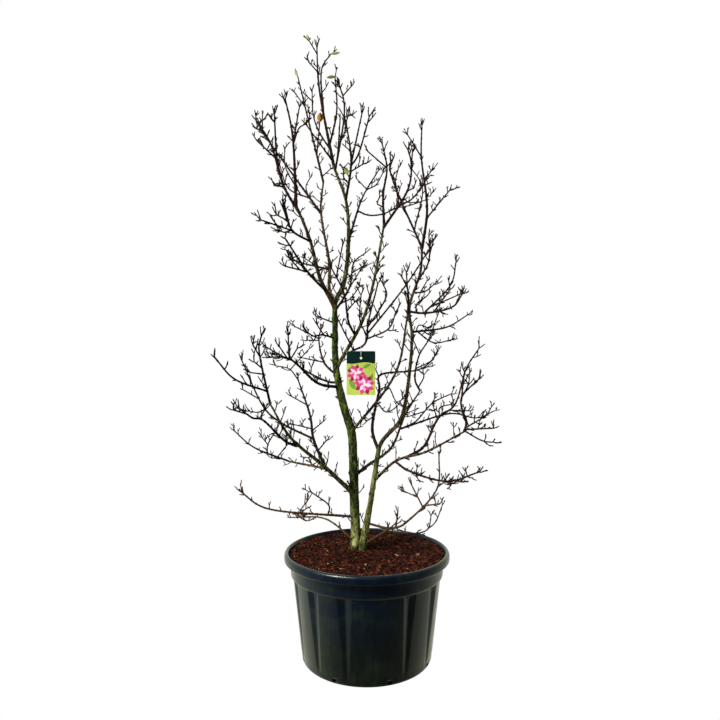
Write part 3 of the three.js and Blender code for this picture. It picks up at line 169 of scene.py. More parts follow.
# Each mass: what it stands on, and its shoots. A shoot starts on the carrier (-1) or on an earlier
# shoot; then come its way, its depth at the tip and its radius at foot and tip.
MASSES = [
    ("low_left_twigs", "main_stem", (
        (-1, ((-64, 685), (-480, 715), (-562, 742), (-645, 806)), -140, 5.9, 3.2),
        (0, ((-195, 703), (-192, 732), (-285, 805)), -80, 3.7, 2.8),
        (0, ((-296, 701), (-325, 686), (-343, 702), (-303, 765)), -190, 3.4, 2.7),
    )),
    ("low_rear_twigs", "main_stem", (
        (-1, ((-57, 556), (-213, 670), (-390, 677)), 170, 4.8, 2.9),
        (0, ((-262, 668), (-310, 660), (-352, 683)), 240, 3.3, 2.7),
    )),
    ("sucker", "second_stem", (
        (-1, ((-14, 540), (150, 652), (153, 682)), -60, 4.3, 2.9),
    )),
    ("low_right_twigs", "second_stem", (
        (-1, ((0, 650), (110, 622), (170, 631), (205, 655), (360, 822), (372, 1000)), -90, 5.6, 3),
        (0, ((276, 738), (229, 843)), -60, 3.7, 2.8),
        (1, ((248, 772), (192, 810)), -10, 3.1, 2.7),
        (0, ((284, 744), (376, 747)), -190, 3.4, 2.7),
        (0, ((362, 830), (402, 856), (430, 850)), -160, 3.2, 2.7),
    )),
    ("low_right_rear_twigs", "second_stem", (
        (-1, ((-8, 604), (100, 596), (310, 615), (330, 690)), 190, 4.8, 2.9),
        (0, ((306, 613), (350, 652), (388, 742)), 260, 3.2, 2.7),
    )),
    ("left_outer_twigs", "low_left_bough", (
        (-1, ((-355, 1042), (-410, 1058), (-550, 1181), (-585, 1182), (-662, 1236)), -330, 5.9, 3.2),
        (0, ((-612, 1203), (-692, 1226)), -370, 3.4, 2.7),
        (0, ((-556, 1182), (-528, 1228)), -260, 3.2, 2.7),
        (0, ((-455, 1090), (-436, 1128)), -200, 3.1, 2.7),
    )),
    ("far_left_twigs", "low_left_bough", (
        (-1, ((-500, 1255), (-556, 1500), (-562, 1560), (-547, 1618)), -310, 5.4, 3.1),
        (0, ((-524, 1322), (-690, 1388), (-795, 1503)), -400, 4.3, 3),
        (0, ((-556, 1495), (-594, 1564)), -350, 3.3, 2.7),
        (0, ((-543, 1412), (-608, 1420)), -240, 3.3, 2.7),
        (0, ((-548, 1440), (-588, 1477)), -320, 3.2, 2.7),
    )),
    ("left_rear_twigs", "left_rear_bough", (
        (-1, ((-400, 962), (-588, 1037), (-688, 1121)), 260, 5.2, 3.1),
        (0, ((-510, 1015), (-512, 1045), (-462, 1134)), 190, 3.7, 2.8),
        (1, ((-512, 1045), (-546, 1090)), 300, 3.1, 2.7),
        (0, ((-458, 987), (-414, 1044)), 130, 3.3, 2.7),
        (0, ((-440, 978), (-492, 979)), 230, 3.1, 2.7),
    )),
    ("left_inner_twigs", "low_left_bough", (
        (-1, ((-214, 931), (-276, 1078), (-292, 1190), (-358, 1386)), 190, 7.4, 3.7),
        (0, ((-276, 1078), (-440, 1158), (-525, 1228), (-650, 1482)), 90, 5.4, 3),
        (1, ((-548, 1286), (-644, 1332)), 150, 3.4, 2.7),
        (1, ((-525, 1232), (-560, 1214), (-612, 1220)), 20, 3.4, 2.7),
        (0, ((-356, 1382), (-402, 1438), (-474, 1455)), 260, 3.5, 2.8),
        (4, ((-398, 1436), (-298, 1546)), 330, 3.3, 2.7),
        (0, ((-316, 1252), (-392, 1297)), 120, 3.4, 2.7),
        (0, ((-300, 1128), (-398, 1156)), 260, 3.4, 2.7),
        (0, ((-293, 1120), (-224, 1168)), 90, 3.3, 2.7),
        (0, ((-250, 1018), (-208, 1070)), 40, 3.3, 2.7),
    )),
    ("mid_left_twigs", "main_stem", (
        (-1, ((-145, 1342), (-250, 1362), (-404, 1492), (-500, 1500)), -230, 7.4, 3.1),
        (0, ((-402, 1492), (-411, 1630)), -180, 3.7, 2.8),
        (0, ((-396, 1490), (-360, 1548)), -120, 3.4, 2.7),
        (0, ((-420, 1490), (-524, 1552)), -300, 3.3, 2.7),
        (0, ((-414, 1492), (-456, 1556)), -240, 3.3, 2.7),
    )),
    ("mid_left_rear_twigs", "main_stem", (
        (-1, ((-150, 1368), (-200, 1372), (-350, 1450), (-398, 1500), (-402, 1560)), 250, 5.9, 3),
        (0, ((-290, 1415), (-288, 1448)), 120, 3.1, 2.6),
        (0, ((-380, 1478), (-515, 1522)), 310, 3.4, 2.7),
    )),
    ("upper_left_twigs", "main_stem", (
        (-1, ((-160, 1402), (-221, 1470), (-250, 1598), (-238, 1650)), 190, 5.6, 3.1),
        (0, ((-222, 1472), (-346, 1498)), 110, 3.5, 2.7),
        (0, ((-249, 1595), (-390, 1667)), 300, 3.7, 2.8),
        (0, ((-245, 1588), (-314, 1588)), 240, 3.3, 2.7),
    )),
    ("upper_left_front_twigs", "main_stem", (
        (-1, ((-166, 1598), (-234, 1616), (-282, 1610), (-312, 1632)), -170, 4.8, 2.9),
        (0, ((-224, 1612), (-262, 1672)), -130, 3.3, 2.7),
    )),
    ("upper_left_spur", "main_stem", (
        (-1, ((-166, 1680), (-270, 1716)), 110, 4.3, 2.8),
    )),
    ("left_wing_twigs", "crown_left_bough", (
        (-1, ((-212, 1848), (-305, 1940), (-432, 2128)), -380, 5.9, 3.1),
        (0, ((-310, 1948), (-432, 1978)), -300, 3.7, 2.8),
        (1, ((-352, 1956), (-412, 2026)), -330, 3.3, 2.7),
        (0, ((-320, 1965), (-372, 2002)), -230, 3.2, 2.7),
    )),
    ("left_wing_rear_twigs", "crown_rear_bough", (
        (-1, ((-196, 1958), (-386, 2014), (-400, 2048), (-432, 2066)), 330, 5.2, 3),
        (0, ((-262, 1970), (-330, 2022)), 220, 3.3, 2.7),
        (0, ((-230, 1964), (-296, 1928)), 250, 3.3, 2.7),
    )),
    ("left_shoulder_twigs", "crown_left_bough", (
        (-1, ((-300, 2106), (-388, 2162), (-444, 2292)), -330, 5.4, 3),
        (0, ((-390, 2164), (-560, 2224)), -400, 3.8, 2.8),
        (0, ((-404, 2196), (-434, 2306)), -260, 3.3, 2.7),
        (0, ((-396, 2170), (-430, 2156), (-466, 2171)), -290, 3.2, 2.7),
        (0, ((-410, 2222), (-478, 2252)), -360, 3.2, 2.7),
    )),
    ("left_plume", "crown_left_bough", (
        (-1, ((-372, 2300), (-396, 2690), (-435, 2878)), -190, 7, 3.2),
        (0, ((-391, 2640), (-358, 2838)), -110, 4, 2.8),
        (0, ((-390, 2625), (-359, 2720), (-336, 2734)), -240, 3.7, 2.7),
    )),
    ("left_outer_plume", "crown_left_bough", (
        (-1, ((-356, 2252), (-440, 2406), (-512, 2638), (-592, 2764)), -330, 6.3, 3.1),
        (0, ((-440, 2406), (-474, 2540), (-492, 2794)), -250, 5, 3),
        (0, ((-488, 2556), (-584, 2650)), -380, 3.7, 2.8),
        (0, ((-548, 2706), (-556, 2760)), -300, 3.2, 2.7),
        (0, ((-434, 2396), (-492, 2412)), -330, 3.2, 2.7),
        (0, ((-545, 2700), (-588, 2716)), -370, 3.2, 2.7),
    )),
    ("rear_left_plume", "crown_rear_bough", (
        (-1, ((-236, 2258), (-556, 2694)), 300, 6.7, 3.1),
        (0, ((-300, 2346), (-412, 2390), (-462, 2520)), 210, 4.3, 2.9),
        (1, ((-346, 2363), (-430, 2505), (-436, 2608)), 340, 3.9, 2.8),
        (0, ((-305, 2354), (-322, 2400), (-300, 2450)), 200, 3.4, 2.7),
    )),
    ("rear_plume", "crown_rear_bough", (
        (-1, ((-230, 2425), (-369, 3000)), 230, 6.3, 3.1),
        (0, ((-263, 2570), (-250, 2752)), 130, 4, 2.8),
        (0, ((-330, 2830), (-388, 2917)), 290, 3.5, 2.7),
        (0, ((-238, 2450), (-190, 2498)), 160, 3.3, 2.7),
        (0, ((-306, 2738), (-304, 2796)), 180, 3.1, 2.6),
    )),
    ("top_plume", "leader_bough", (
        (-1, ((-176, 2515), (-256, 2950), (-268, 3170)), 0, 7.6, 3),
        (0, ((-231, 2805), (-240, 3045), (-192, 3122)), -50, 4.5, 2.8),
        (0, ((-192, 2625), (-160, 2812), (-170, 2998)), -110, 4.8, 2.9),
        (0, ((-188, 2600), (-256, 2702), (-285, 2790), (-292, 2925)), 110, 4.3, 2.8),
        (0, ((-180, 2540), (-320, 2732)), -80, 3.9, 2.8),
        (0, ((-268, 3120), (-311, 3198)), -15, 3.1, 2.7),
        (0, ((-262, 3018), (-310, 3078)), -20, 3.2, 2.7),
        (3, ((-300, 2862), (-338, 2908)), 150, 3.1, 2.7),
    )),
    ("top_right_plume", "leader_bough", (
        (-1, ((-170, 2490), (-120, 2790), (-125, 2880), (-151, 2960)), -130, 5.2, 3),
        (0, ((-161, 2570), (-143, 2752)), -200, 3.7, 2.8),
        (0, ((-145, 2628), (-112, 2704)), -60, 3.4, 2.7),
        (0, ((-127, 2892), (-83, 2945)), -90, 3.2, 2.7),
        (0, ((-121, 2770), (-84, 2792)), -160, 3.2, 2.7),
    )),
    ("right_plume", "leader_bough", (
        (-1, ((-107, 2330), (-83, 2530), (-112, 2760)), -260, 6.3, 3),
        (0, ((-84, 2520), (-25, 2802)), -200, 4.1, 2.9),
        (0, ((-85, 2510), (-50, 2565), (14, 2784)), -320, 4.1, 2.9),
        (0, ((-90, 2480), (-18, 2524)), -190, 3.3, 2.7),
        (0, ((-98, 2420), (-122, 2450), (-122, 2505)), -330, 3.4, 2.7),
    )),
    ("right_plume_foot", "leader_bough", (
        (-1, ((-106, 2105), (-22, 2345), (62, 2490)), 210, 6.1, 2.9),
        (0, ((0, 2392), (45, 2408), (87, 2480)), 270, 3.4, 2.7),
        (0, ((-2, 2388), (-55, 2444)), 170, 3.3, 2.7),
        (0, ((-42, 2272), (0, 2250), (73, 2252), (156, 2288), (245, 2342), (281, 2394),
           (317, 2440)), 280, 4.2, 2.8),
        (3, ((150, 2286), (224, 2300), (310, 2330)), 300, 3.1, 2.6),
    )),
    ("middle_rear_twigs", "main_stem", (
        (-1, ((-166, 1735), (-90, 1868), (-67, 1998), (-5, 2050)), 230, 5.9, 2.9),
        (0, ((-116, 1818), (-14, 1990)), 300, 3.8, 2.8),
        (0, ((-71, 1940), (-10, 1984)), 170, 3.3, 2.7),
        (0, ((-67, 1990), (-96, 2040)), 200, 3.2, 2.7),
        (0, ((-140, 1780), (-95, 1800), (-36, 1872)), 120, 3.5, 2.7),
    )),
    ("middle_front_twigs", "middle_bough", (
        (-1, ((-66, 1618), (-95, 1680), (-120, 1835), (-186, 1968)), -230, 5.6, 2.9),
        (0, ((-106, 1740), (-62, 1790)), -160, 3.3, 2.7),
        (0, ((-160, 1918), (-128, 2090)), -270, 3.2, 2.7),
    )),
    ("label_twigs", "middle_bough", (
        (-1, ((-116, 1512), (-64, 1538), (-16, 1562), (2, 1600), (4, 1662), (58, 1888)), -230, 5.4, 2.9),
        (0, ((0, 1594), (115, 1650), (152, 1738)), -320, 3.8, 2.8),
        (0, ((-13, 1625), (206, 1880), (334, 2078)), -190, 4.3, 2.9),
        (0, ((-8, 1662), (86, 1782), (104, 1830), (82, 1888)), -330, 3.5, 2.7),
        (0, ((-70, 1536), (-152, 1700)), -200, 3.7, 2.8),
        (0, ((2, 1608), (-36, 1690), (-30, 1832)), -140, 3.4, 2.7),
    )),
    ("fork_left_plume", "middle_bough", (
        (-1, ((90, 2195), (86, 2360), (106, 2500), (81, 2632)), -160, 6.1, 3),
        (0, ((105, 2502), (6, 2590)), -210, 3.5, 2.7),
        (0, ((84, 2290), (54, 2310), (70, 2350)), -90, 3.2, 2.7),
    )),
    ("fork_right_plume", "middle_bough", (
        (-1, ((88, 2182), (222, 2400), (233, 2540), (216, 2604)), -290, 6.1, 3),
        (0, ((160, 2304), (148, 2430), (118, 2496), (128, 2540)), -230, 3.9, 2.8),
        (0, ((166, 2312), (226, 2326), (300, 2410)), -350, 3.5, 2.7),
        (0, ((232, 2490), (242, 2592)), -330, 3.2, 2.7),
        (0, ((216, 2370), (242, 2392)), -230, 3.1, 2.6),
    )),
    ("right_cross_plume", "right_bough", (
        (-1, ((289, 2060), (124, 2490), (140, 2552)), 220, 6.3, 2.9),
        (0, ((252, 2166), (292, 2402), (236, 2500)), 290, 4, 2.8),
        (0, ((152, 2418), (166, 2502)), 170, 3.2, 2.7),
        (0, ((190, 2335), (168, 2360), (174, 2396)), 270, 3.2, 2.7),
    )),
    ("right_top_plume", "right_bough", (
        (-1, ((290, 2070), (317, 2280), (288, 2565), (292, 2735)), 10, 7.4, 3.1),
        (0, ((315, 2226), (437, 2382)), -100, 4.1, 2.9),
        (0, ((290, 2562), (214, 2684)), 80, 3.8, 2.8),
        (0, ((308, 2428), (344, 2492)), -60, 3.4, 2.7),
        (0, ((311, 2380), (332, 2345), (340, 2366)), 60, 3.1, 2.6),
    )),
    ("right_shoulder_twigs", "right_bough", (
        (-1, ((272, 1896), (324, 2002), (326, 2140)), -110, 4.8, 2.9),
        (0, ((327, 2024), (350, 2116)), -60, 3.3, 2.7),
    )),
    ("right_spray_rear", "right_bough", (
        (-1, ((244, 1836), (302, 1843), (367, 1895)), 300, 4.3, 2.8),
        (0, ((280, 1842), (316, 1902)), 180, 3.2, 2.7),
    )),
    ("right_mid_twigs", "right_bough", (
        (-1, ((228, 1738), (290, 1730), (410, 1748), (460, 1772), (498, 1830)), -260, 5.9, 3),
        (0, ((300, 1732), (442, 1885), (468, 2003)), -160, 4.5, 2.9),
        (1, ((330, 1758), (492, 1832)), -100, 3.5, 2.8),
        (0, ((255, 1734), (262, 1780), (308, 1815)), -150, 3.3, 2.7),
        (0, ((350, 1742), (436, 1855)), -300, 3.5, 2.8),
    )),
    ("right_arm_twigs", "right_bough", (
        (-1, ((237, 1632), (420, 1658), (528, 1722)), 280, 5.6, 3),
        (0, ((262, 1636), (348, 1575), (446, 1592)), 180, 4, 2.8),
        (0, ((290, 1640), (330, 1616), (352, 1628)), 320, 3.3, 2.7),
        (0, ((255, 1634), (270, 1668), (322, 1652)), 90, 3.3, 2.7),
    )),
    ("label_bough_twigs", "label_bough", (
        (-1, ((214, 1725), (214, 1850), (182, 1924)), -150, 5.4, 2.9),
        (0, ((206, 1770), (202, 1822)), -80, 3.2, 2.7),
        (0, ((213, 1840), (206, 1948)), -210, 3.4, 2.7),
    )),
    ("inner_right_twigs", "second_stem", (
        (-1, ((60, 1018), (28, 1122), (65, 1342), (62, 1402), (270, 1435), (330, 1475),
           (352, 1508)), 210, 8, 2.9),
        (0, ((62, 1398), (40, 1450)), 60, 3.4, 2.7),
        (0, ((51, 1268), (100, 1215), (150, 1240), (186, 1290)), 230, 3.5, 2.7),
        (0, ((62, 1330), (110, 1345), (150, 1270), (196, 1235)), 130, 3.4, 2.7),
        (0, ((39, 1200), (-5, 1165)), 90, 3.2, 2.7),
    )),
    ("right_inner_twigs", "cross_bough", (
        (-1, ((275, 1325), (250, 1380), (272, 1510), (318, 1585), (378, 1742)), 270, 5.2, 2.9),
        (0, ((266, 1342), (296, 1400), (292, 1440), (340, 1452)), 340, 3.7, 2.7),
        (0, ((260, 1440), (335, 1482), (366, 1524)), 170, 3.5, 2.7),
        (0, ((273, 1514), (238, 1598)), 220, 3.4, 2.7),
    )),
    ("right_long_twigs", "cross_bough", (
        (-1, ((170, 1128), (440, 1208), (560, 1185), (618, 1200), (646, 1245)), 330, 5.2, 3),
        (0, ((608, 1196), (670, 1226)), 380, 3.2, 2.7),
        (0, ((185, 1134), (250, 1165), (340, 1262), (440, 1311)), 230, 4.1, 2.8),
        (2, ((298, 1220), (206, 1190)), 300, 3.2, 2.7),
        (2, ((332, 1254), (352, 1288)), 200, 3.1, 2.6),
    )),
    ("right_fan_twigs", "low_right_bough", (
        (-1, ((208, 987), (292, 1036), (372, 1188), (452, 1248), (508, 1425)), 120, 6.7, 3),
        (0, ((368, 1182), (404, 1218), (526, 1222)), 40, 3.5, 2.7),
        (0, ((366, 1178), (342, 1250)), 170, 3.3, 2.7),
        (0, ((374, 1192), (376, 1236), (440, 1256)), 200, 3.3, 2.7),
        (0, ((340, 1115), (330, 1136)), 60, 3.1, 2.6),
        (0, ((482, 1334), (534, 1420)), 190, 3.2, 2.7),
    )),
    ("far_right_twigs", "low_right_bough", (
        (-1, ((500, 1113), (514, 1155), (487, 1256), (492, 1296), (582, 1388)), -200, 5.4, 3),
        (0, ((489, 1270), (512, 1430), (586, 1550)), -130, 4, 2.8),
        (0, ((508, 1132), (600, 1186)), -270, 3.4, 2.7),
        (0, ((505, 1124), (655, 1132)), -320, 3.8, 2.8),
        (0, ((503, 1119), (600, 1066), (656, 1060)), -230, 3.7, 2.7),
        (0, ((490, 1290), (528, 1358)), -240, 3.2, 2.7),
    )),
    ("low_right_front_twigs", "low_right_bough", (
        (-1, ((148, 958), (200, 922), (412, 860), (576, 907)), -330, 5.4, 3),
        (0, ((408, 860), (430, 838)), -360, 3.2, 2.7),
        (0, ((448, 862), (484, 857)), -300, 3.2, 2.7),
        (0, ((240, 905), (256, 892)), -230, 3.1, 2.6),
    )),
]

STEM_NAMES = ("main_stem", "second_stem")
MASS_NAMES = [row[0] for row in MASSES]
CARRIERS = {row[0]: row[1] for row in (*BOUGHS, *MASSES)}

# The masses that are joined into one piece of twigs and one of buds.
TWIG_GROUPS = {
    "low": ("low_left_twigs", "low_rear_twigs", "sucker", "low_right_twigs", "low_right_rear_twigs",
        "left_outer_twigs", "far_left_twigs", "left_rear_twigs", "left_inner_twigs",
        "low_right_front_twigs", "far_right_twigs", "right_fan_twigs", "right_long_twigs"),
    "middle": ("mid_left_twigs", "mid_left_rear_twigs", "upper_left_twigs", "upper_left_front_twigs",
        "upper_left_spur", "label_twigs", "middle_front_twigs", "middle_rear_twigs", "inner_right_twigs",
        "right_inner_twigs", "right_arm_twigs", "right_mid_twigs", "right_spray_rear", "label_bough_twigs",
        "right_shoulder_twigs"),
    "top": ("left_wing_twigs", "left_wing_rear_twigs", "left_shoulder_twigs", "left_plume",
        "left_outer_plume", "rear_left_plume", "rear_plume", "top_plume", "top_right_plume", "right_plume",
        "right_plume_foot", "fork_left_plume", "fork_right_plume", "right_cross_plume", "right_top_plume"),
}

# Leaves left at shoots' tips: the mass, its shoot, length, width, heading as across, up and depth,
# how far the tip curls, and the tone.
LEAVES = [
    ("top_plume", 5, 34, 16, (-0.4, 1, -0.2), 0.5, 0),
    ("top_plume", 5, 26, 12, (0.35, 1, 0.3), 0.4, 1),
    ("top_plume", 1, 50, 17, (1, 0.1, -0.25), 0.8, 0),
    ("rear_plume", 0, 52, 20, (-0.5, 1, 0.1), 0.5, 0),
    ("top_plume", 2, 46, 18, (-1, -0.25, -0.4), 0.9, 1),
    ("rear_plume", 1, 52, 42, (0.05, 1, -0.3), 0.5, 2),
    ("middle_rear_twigs", 4, 34, 20, (-0.5, 0.6, -0.5), 0.8, 3),
]

# Small dry leaves on the spurs nearest these sighted places: across, height, length, width, tone.
CURLED_LEAVES = [
    (-230, 2055, 34, 17, 4), (-120, 2525, 44, 22, 1), (-200, 2760, 32, 14, 1), (-152, 2768, 40, 18, 4),
    (-45, 1845, 30, 15, 3),
]


# Growth

class Dice:
    """A stream of repeatable random numbers between 0 and 1."""

    def __init__(self, seed):
        self.state = seed & 0xFFFFFFFF

    def roll(self):
        self.state = (self.state * 1664525 + 1013904223) & 0xFFFFFFFF
        return self.state / 4294967296.0

    def between(self, low, high):
        return low + (high - low) * self.roll()


def dice_for(use, number=0):
    """The random stream of one use, for the limb of that number."""
    first, step = SEEDS[use]
    return Dice(first + step * number)


class Tube:
    """A limb or shoot: its kinked line, the smooth line it was thinned from, and its girth."""

    def __init__(self, points, smooth, radii, mass, goes_on=False):
        self.points = points
        self.smooth = smooth
        self.radii = radii
        self.mass = mass
        self.goes_on = goes_on


def unit(v):
    length = math.sqrt(float(np.dot(v, v)))
    return v / length if length > 1e-9 else v


def place(across, height, depth):
    """The place at a depth that is seen, from the eye, at a place of the plant's middle plane."""
    t = 1 + depth / EYE_DISTANCE
    return np.array((across * t, depth, EYE_HEIGHT + (height - EYE_HEIGHT) * t))


def sighted(point):
    """Where a place lines up with the plant's middle plane, seen from the eye."""
    t = 1 + point[1] / EYE_DISTANCE
    return np.array((point[0] / t, EYE_HEIGHT + (point[2] - EYE_HEIGHT) / t))


def smooth_line(points, step):
    """Evenly spaced places on a centripetal curve through the points."""
    if len(points) == 2:
        points = [points[0], (points[0] + points[1]) / 2, points[1]]
    p = np.array([2 * points[0] - points[1]] + list(points) + [2 * points[-1] - points[-2]])
    count = len(points)
    at = np.linspace(0, count - 1, 201)
    i = np.minimum(at.astype(int), count - 2)
    w = (at - i)[:, None]
    p0, p1, p2, p3 = p[i], p[i + 1], p[i + 2], p[i + 3]
    d0 = np.sqrt(np.linalg.norm(p1 - p0, axis=1))[:, None]
    d1 = np.sqrt(np.linalg.norm(p2 - p1, axis=1))[:, None]
    d2 = np.sqrt(np.linalg.norm(p3 - p2, axis=1))[:, None]
    t1 = ((p1 - p0) / d0 - (p2 - p0) / (d0 + d1) + (p2 - p1) / d1) * d1
    t2 = ((p2 - p1) / d1 - (p3 - p1) / (d1 + d2) + (p3 - p2) / d2) * d1
    line = p1 + t1 * w + (3 * (p2 - p1) - 2 * t1 - t2) * w ** 2 + (2 * (p1 - p2) + t1 + t2) * w ** 3
    return respaced(line, step)


def run_of(line):
    """The length run at each place of a line."""
    return np.concatenate(([0.0], np.cumsum(np.linalg.norm(np.diff(line, axis=0), axis=1))))


def respaced(line, step):
    """The line again, with its places evenly spaced by about the step."""
    run = run_of(line)
    marks = np.linspace(0, run[-1], max(1, math.ceil(run[-1] / step)) + 1)
    return np.stack([np.interp(marks, run, line[:, k]) for k in range(3)], axis=1)


def thin_out(points, slack):
    """The points kept where the line bends by more than the slack."""
    a, b = points[0], points[-1]
    chord = b - a
    far, miss_far = 0, slack
    for i in range(1, len(points) - 1):
        t = min(1.0, max(0.0, float(np.dot(points[i] - a, chord) / np.dot(chord, chord))))
        miss = float(np.linalg.norm(a + chord * t - points[i]))
        if miss > miss_far:
            far, miss_far = i, miss
    if not far:
        return [a, b]
    return thin_out(points[:far + 1], slack)[:-1] + thin_out(points[far:], slack)


def way_places(way, foot_depth, tip_depth):
    """A sighted way's places, with the depth changing evenly along it."""
    run = run_of(np.array(way, dtype=float))
    change = tip_depth - foot_depth
    return [place(x, z, foot_depth + change * r / run[-1]) for (x, z), r in zip(way, run)]


class Crown:
    """All the tubes grown so far, and what a new one must stay clear of."""

    def __init__(self):
        self.limbs = {}
        self.spurs = {}
        self.a = np.zeros((0, 3))
        self.b = np.zeros((0, 3))
        self.r = np.zeros(0)
        self.mass = np.zeros(0, dtype=int)
        self.names = []

    def add(self, tube):
        points = np.array(tube.points)
        radii = np.maximum(tube.radii[:-1], tube.radii[1:])
        if tube.mass not in self.names:
            self.names.append(tube.mass)
        self.a = np.vstack((self.a, points[:-1]))
        self.b = np.vstack((self.b, points[1:]))
        self.r = np.concatenate((self.r, radii))
        self.mass = np.concatenate((self.mass, np.full(len(radii), self.names.index(tube.mass))))

    def is_clear(self, points, radius, free, mass):
        """Whether a path, past its free length, keeps clear of all that has grown."""
        own = self.names.index(mass) if mass in self.names else -1
        need = radius + self.r + CLEARANCE * np.where(self.mass == own, 0.3, 1.0)
        path = beyond(points, free)
        for a, b in zip(path[:-1], path[1:]):
            if (segment_distances(a, b, self.a, self.b) < need).any():
                return False
        return True


def beyond(points, length):
    """The path from a given length on."""
    for i in range(1, len(points)):
        step = float(np.linalg.norm(points[i] - points[i - 1]))
        if length < step:
            return [points[i - 1] + (points[i] - points[i - 1]) * (length / step)] + list(points[i:])
        length -= step
    return []


def segment_distances(a, b, c, d):
    """Least distances between one segment and many."""
    u = b - a
    v = d - c
    w = a - c
    uu = float(np.dot(u, u))
    uv = v @ u
    vv = np.einsum("ij,ij->i", v, v)
    uw = w @ u
    vw = np.einsum("ij,ij->i", v, w)
    det = uu * vv - uv * uv
    s = np.where(det > 1e-9, np.clip((uv * vw - vv * uw) / np.where(det > 1e-9, det, 1), 0, 1), 0)
    t = np.clip((uv * s + vw) / vv, 0, 1)
    s = np.clip((uv * t - uw) / uu, 0, 1)
    return np.linalg.norm(w + u * s[:, None] - v * t[:, None], axis=1)


def foot_on(tube, across, height):
    """Where a tube lines up with a sighted place: the place, its segment, and whether it is the tip."""
    best = (math.inf, None, 0)
    for i in range(1, len(tube.points)):
        for k in range(SIGHT_STEPS + 1):
            p = tube.points[i - 1] + (tube.points[i] - tube.points[i - 1]) * (k / SIGHT_STEPS)
            miss = math.hypot(*(sighted(p) - (across, height)))
            if miss < best[0]:
                best = (miss, p, i)
    at_tip = float(np.linalg.norm(best[1] - tube.points[-1])) < TIP_REACH
    return best[1], best[2], at_tip


def grow_tube(crown, carrier, way, tip_depth, r0, r1, mass, slack):
    """A limb or shoot from its carrier's middle line, or on from the carrier's tip."""
    foot, i, at_tip = foot_on(carrier, way[0][0], way[0][1])
    goes_on = at_tip and mass != carrier.mass
    heading = unit(carrier.points[-1] - carrier.points[-2])
    start = carrier.points[-1] + heading * GAP if goes_on else foot
    free = max(carrier.radii[i - 1], carrier.radii[i]) * 1.6 + r0 * 2 + FREE_LENGTH
    for k in range(DEPTH_TRIES):
        shift = DEPTH_STEP * math.ceil(k / 2) * (1 if k % 2 else -1)
        places = way_places(way, start[1], tip_depth * CROWN_DEPTH + shift)
        places[0] = start
        smooth = smooth_line(places, LINE_STEP)
        points = thin_out(list(smooth), slack)
        if crown.is_clear(points, r0, free, mass):
            break
    run = run_of(np.array(points))
    radii = r0 + (r1 - r0) * run / run[-1]
    if mass == carrier.mass:
        first = points[1] - points[0]
        reach = min(carrier.radii[i] + r0, 0.4 * float(np.linalg.norm(first)))
        points = [points[0], points[0] + unit(first) * reach] + points[1:]
        radii = np.concatenate(([0.0], radii))
    return Tube(points, smooth, radii, mass, goes_on)


def spur_heading(tangent, lean, turn):
    """A heading that leans away from the tangent, turned round it, and that rises a little."""
    across = unit(np.cross((0.3, 1.0, 0.2), tangent))
    over = np.cross(tangent, across)
    heading = tangent * math.cos(lean) + across * (math.sin(lean) * math.cos(turn))
    heading = heading + over * (math.sin(lean) * math.sin(turn))
    return unit(heading + np.array((0, 0, SPUR_RISE)))


def grow_spurs(crown, shoot, dice, mass):
    """Spurs along a shoot, turned by the golden angle, and one shoot more at its tip."""
    points = shoot.points
    run = run_of(np.array(points))
    found = []

    def grow(s, lean, turn, length):
        i = 1
        while i < len(run) - 1 and run[i] < s:
            i += 1
        share = min(1.0, (s - run[i - 1]) / (run[i] - run[i - 1]))
        foot = points[i - 1] + (points[i] - points[i - 1]) * share
        heading = spur_heading(unit(points[i] - points[i - 1]), lean, turn)
        tip = foot + heading * length
        out = foot + heading * (shoot.radii[0] + TWIG_RADIUS + 1)
        if crown.is_clear([foot, tip], TWIG_RADIUS, max(shoot.radii) + TWIG_RADIUS + 7, mass):
            line = np.array((foot, tip))
            tube = Tube([foot, out, tip], line, np.array((0, TWIG_RADIUS, 0)), mass)
            crown.add(tube)
            found.append(tube)

    turn = dice.roll() * 6.28
    s = SPUR_STEP * (0.5 + 0.5 * dice.roll())
    while s < run[-1] - 30:
        turn += GOLDEN_TURN
        length = dice.between(*SPUR_LENGTH)
        grow(s, 0.75 + 0.3 * dice.roll(), turn, length)
        s += SPUR_STEP * (0.75 + 0.5 * dice.roll())
    turn = dice.roll() * 3.14
    length = dice.between(*FORK_LENGTH)
    grow(run[-1] - 3, 0.45 + 0.3 * dice.roll(), turn, length)
    return found


def girth_at(girth, height):
    """A stem's radius at a height."""
    return float(np.interp(height, [z for z, _ in girth], [r for _, r in girth]))


def grow_crown():
    """Every stem, bough, shoot and spur, as the solids have them."""
    crown = Crown()
    for name, depth, way, girth in STEMS:
        smooth = smooth_line(way_places(way, depth[0], depth[1]), LINE_STEP)
        smooth[0][2] = SOIL_LEVEL + GAP
        points = thin_out(list(smooth), STEM_SLACK)
        radii = np.array([girth_at(girth, sighted(p)[1]) for p in points])
        tube = Tube(points, smooth, radii, name)
        crown.limbs[name] = [tube]
        crown.add(tube)
    for name, on, way, back, r0, r1 in BOUGHS:
        tube = grow_tube(crown, crown.limbs[on][0], way, back, r0, r1, name, BOUGH_SLACK)
        crown.limbs[name] = [tube]
        crown.add(tube)
    for name, on, shoots in MASSES:
        tubes = []
        for start, way, back, r0, r1 in shoots:
            carrier = crown.limbs[on][0] if start < 0 else tubes[start]
            tube = grow_tube(crown, carrier, way, back, r0, r1, name, SHOOT_SLACK)
            tubes.append(tube)
            crown.add(tube)
        crown.limbs[name] = tubes
    for k, (name, _, _) in enumerate(MASSES):
        dice = dice_for("growth", k)
        crown.spurs[name] = []
        for shoot in crown.limbs[name]:
            crown.spurs[name] += grow_spurs(crown, shoot, dice, name)
    return crown


CROWN = {}


def crown():
    """The crown, grown once."""
    if "grown" not in CROWN:
        CROWN["grown"] = grow_crown()
    return CROWN["grown"]


# Meshes

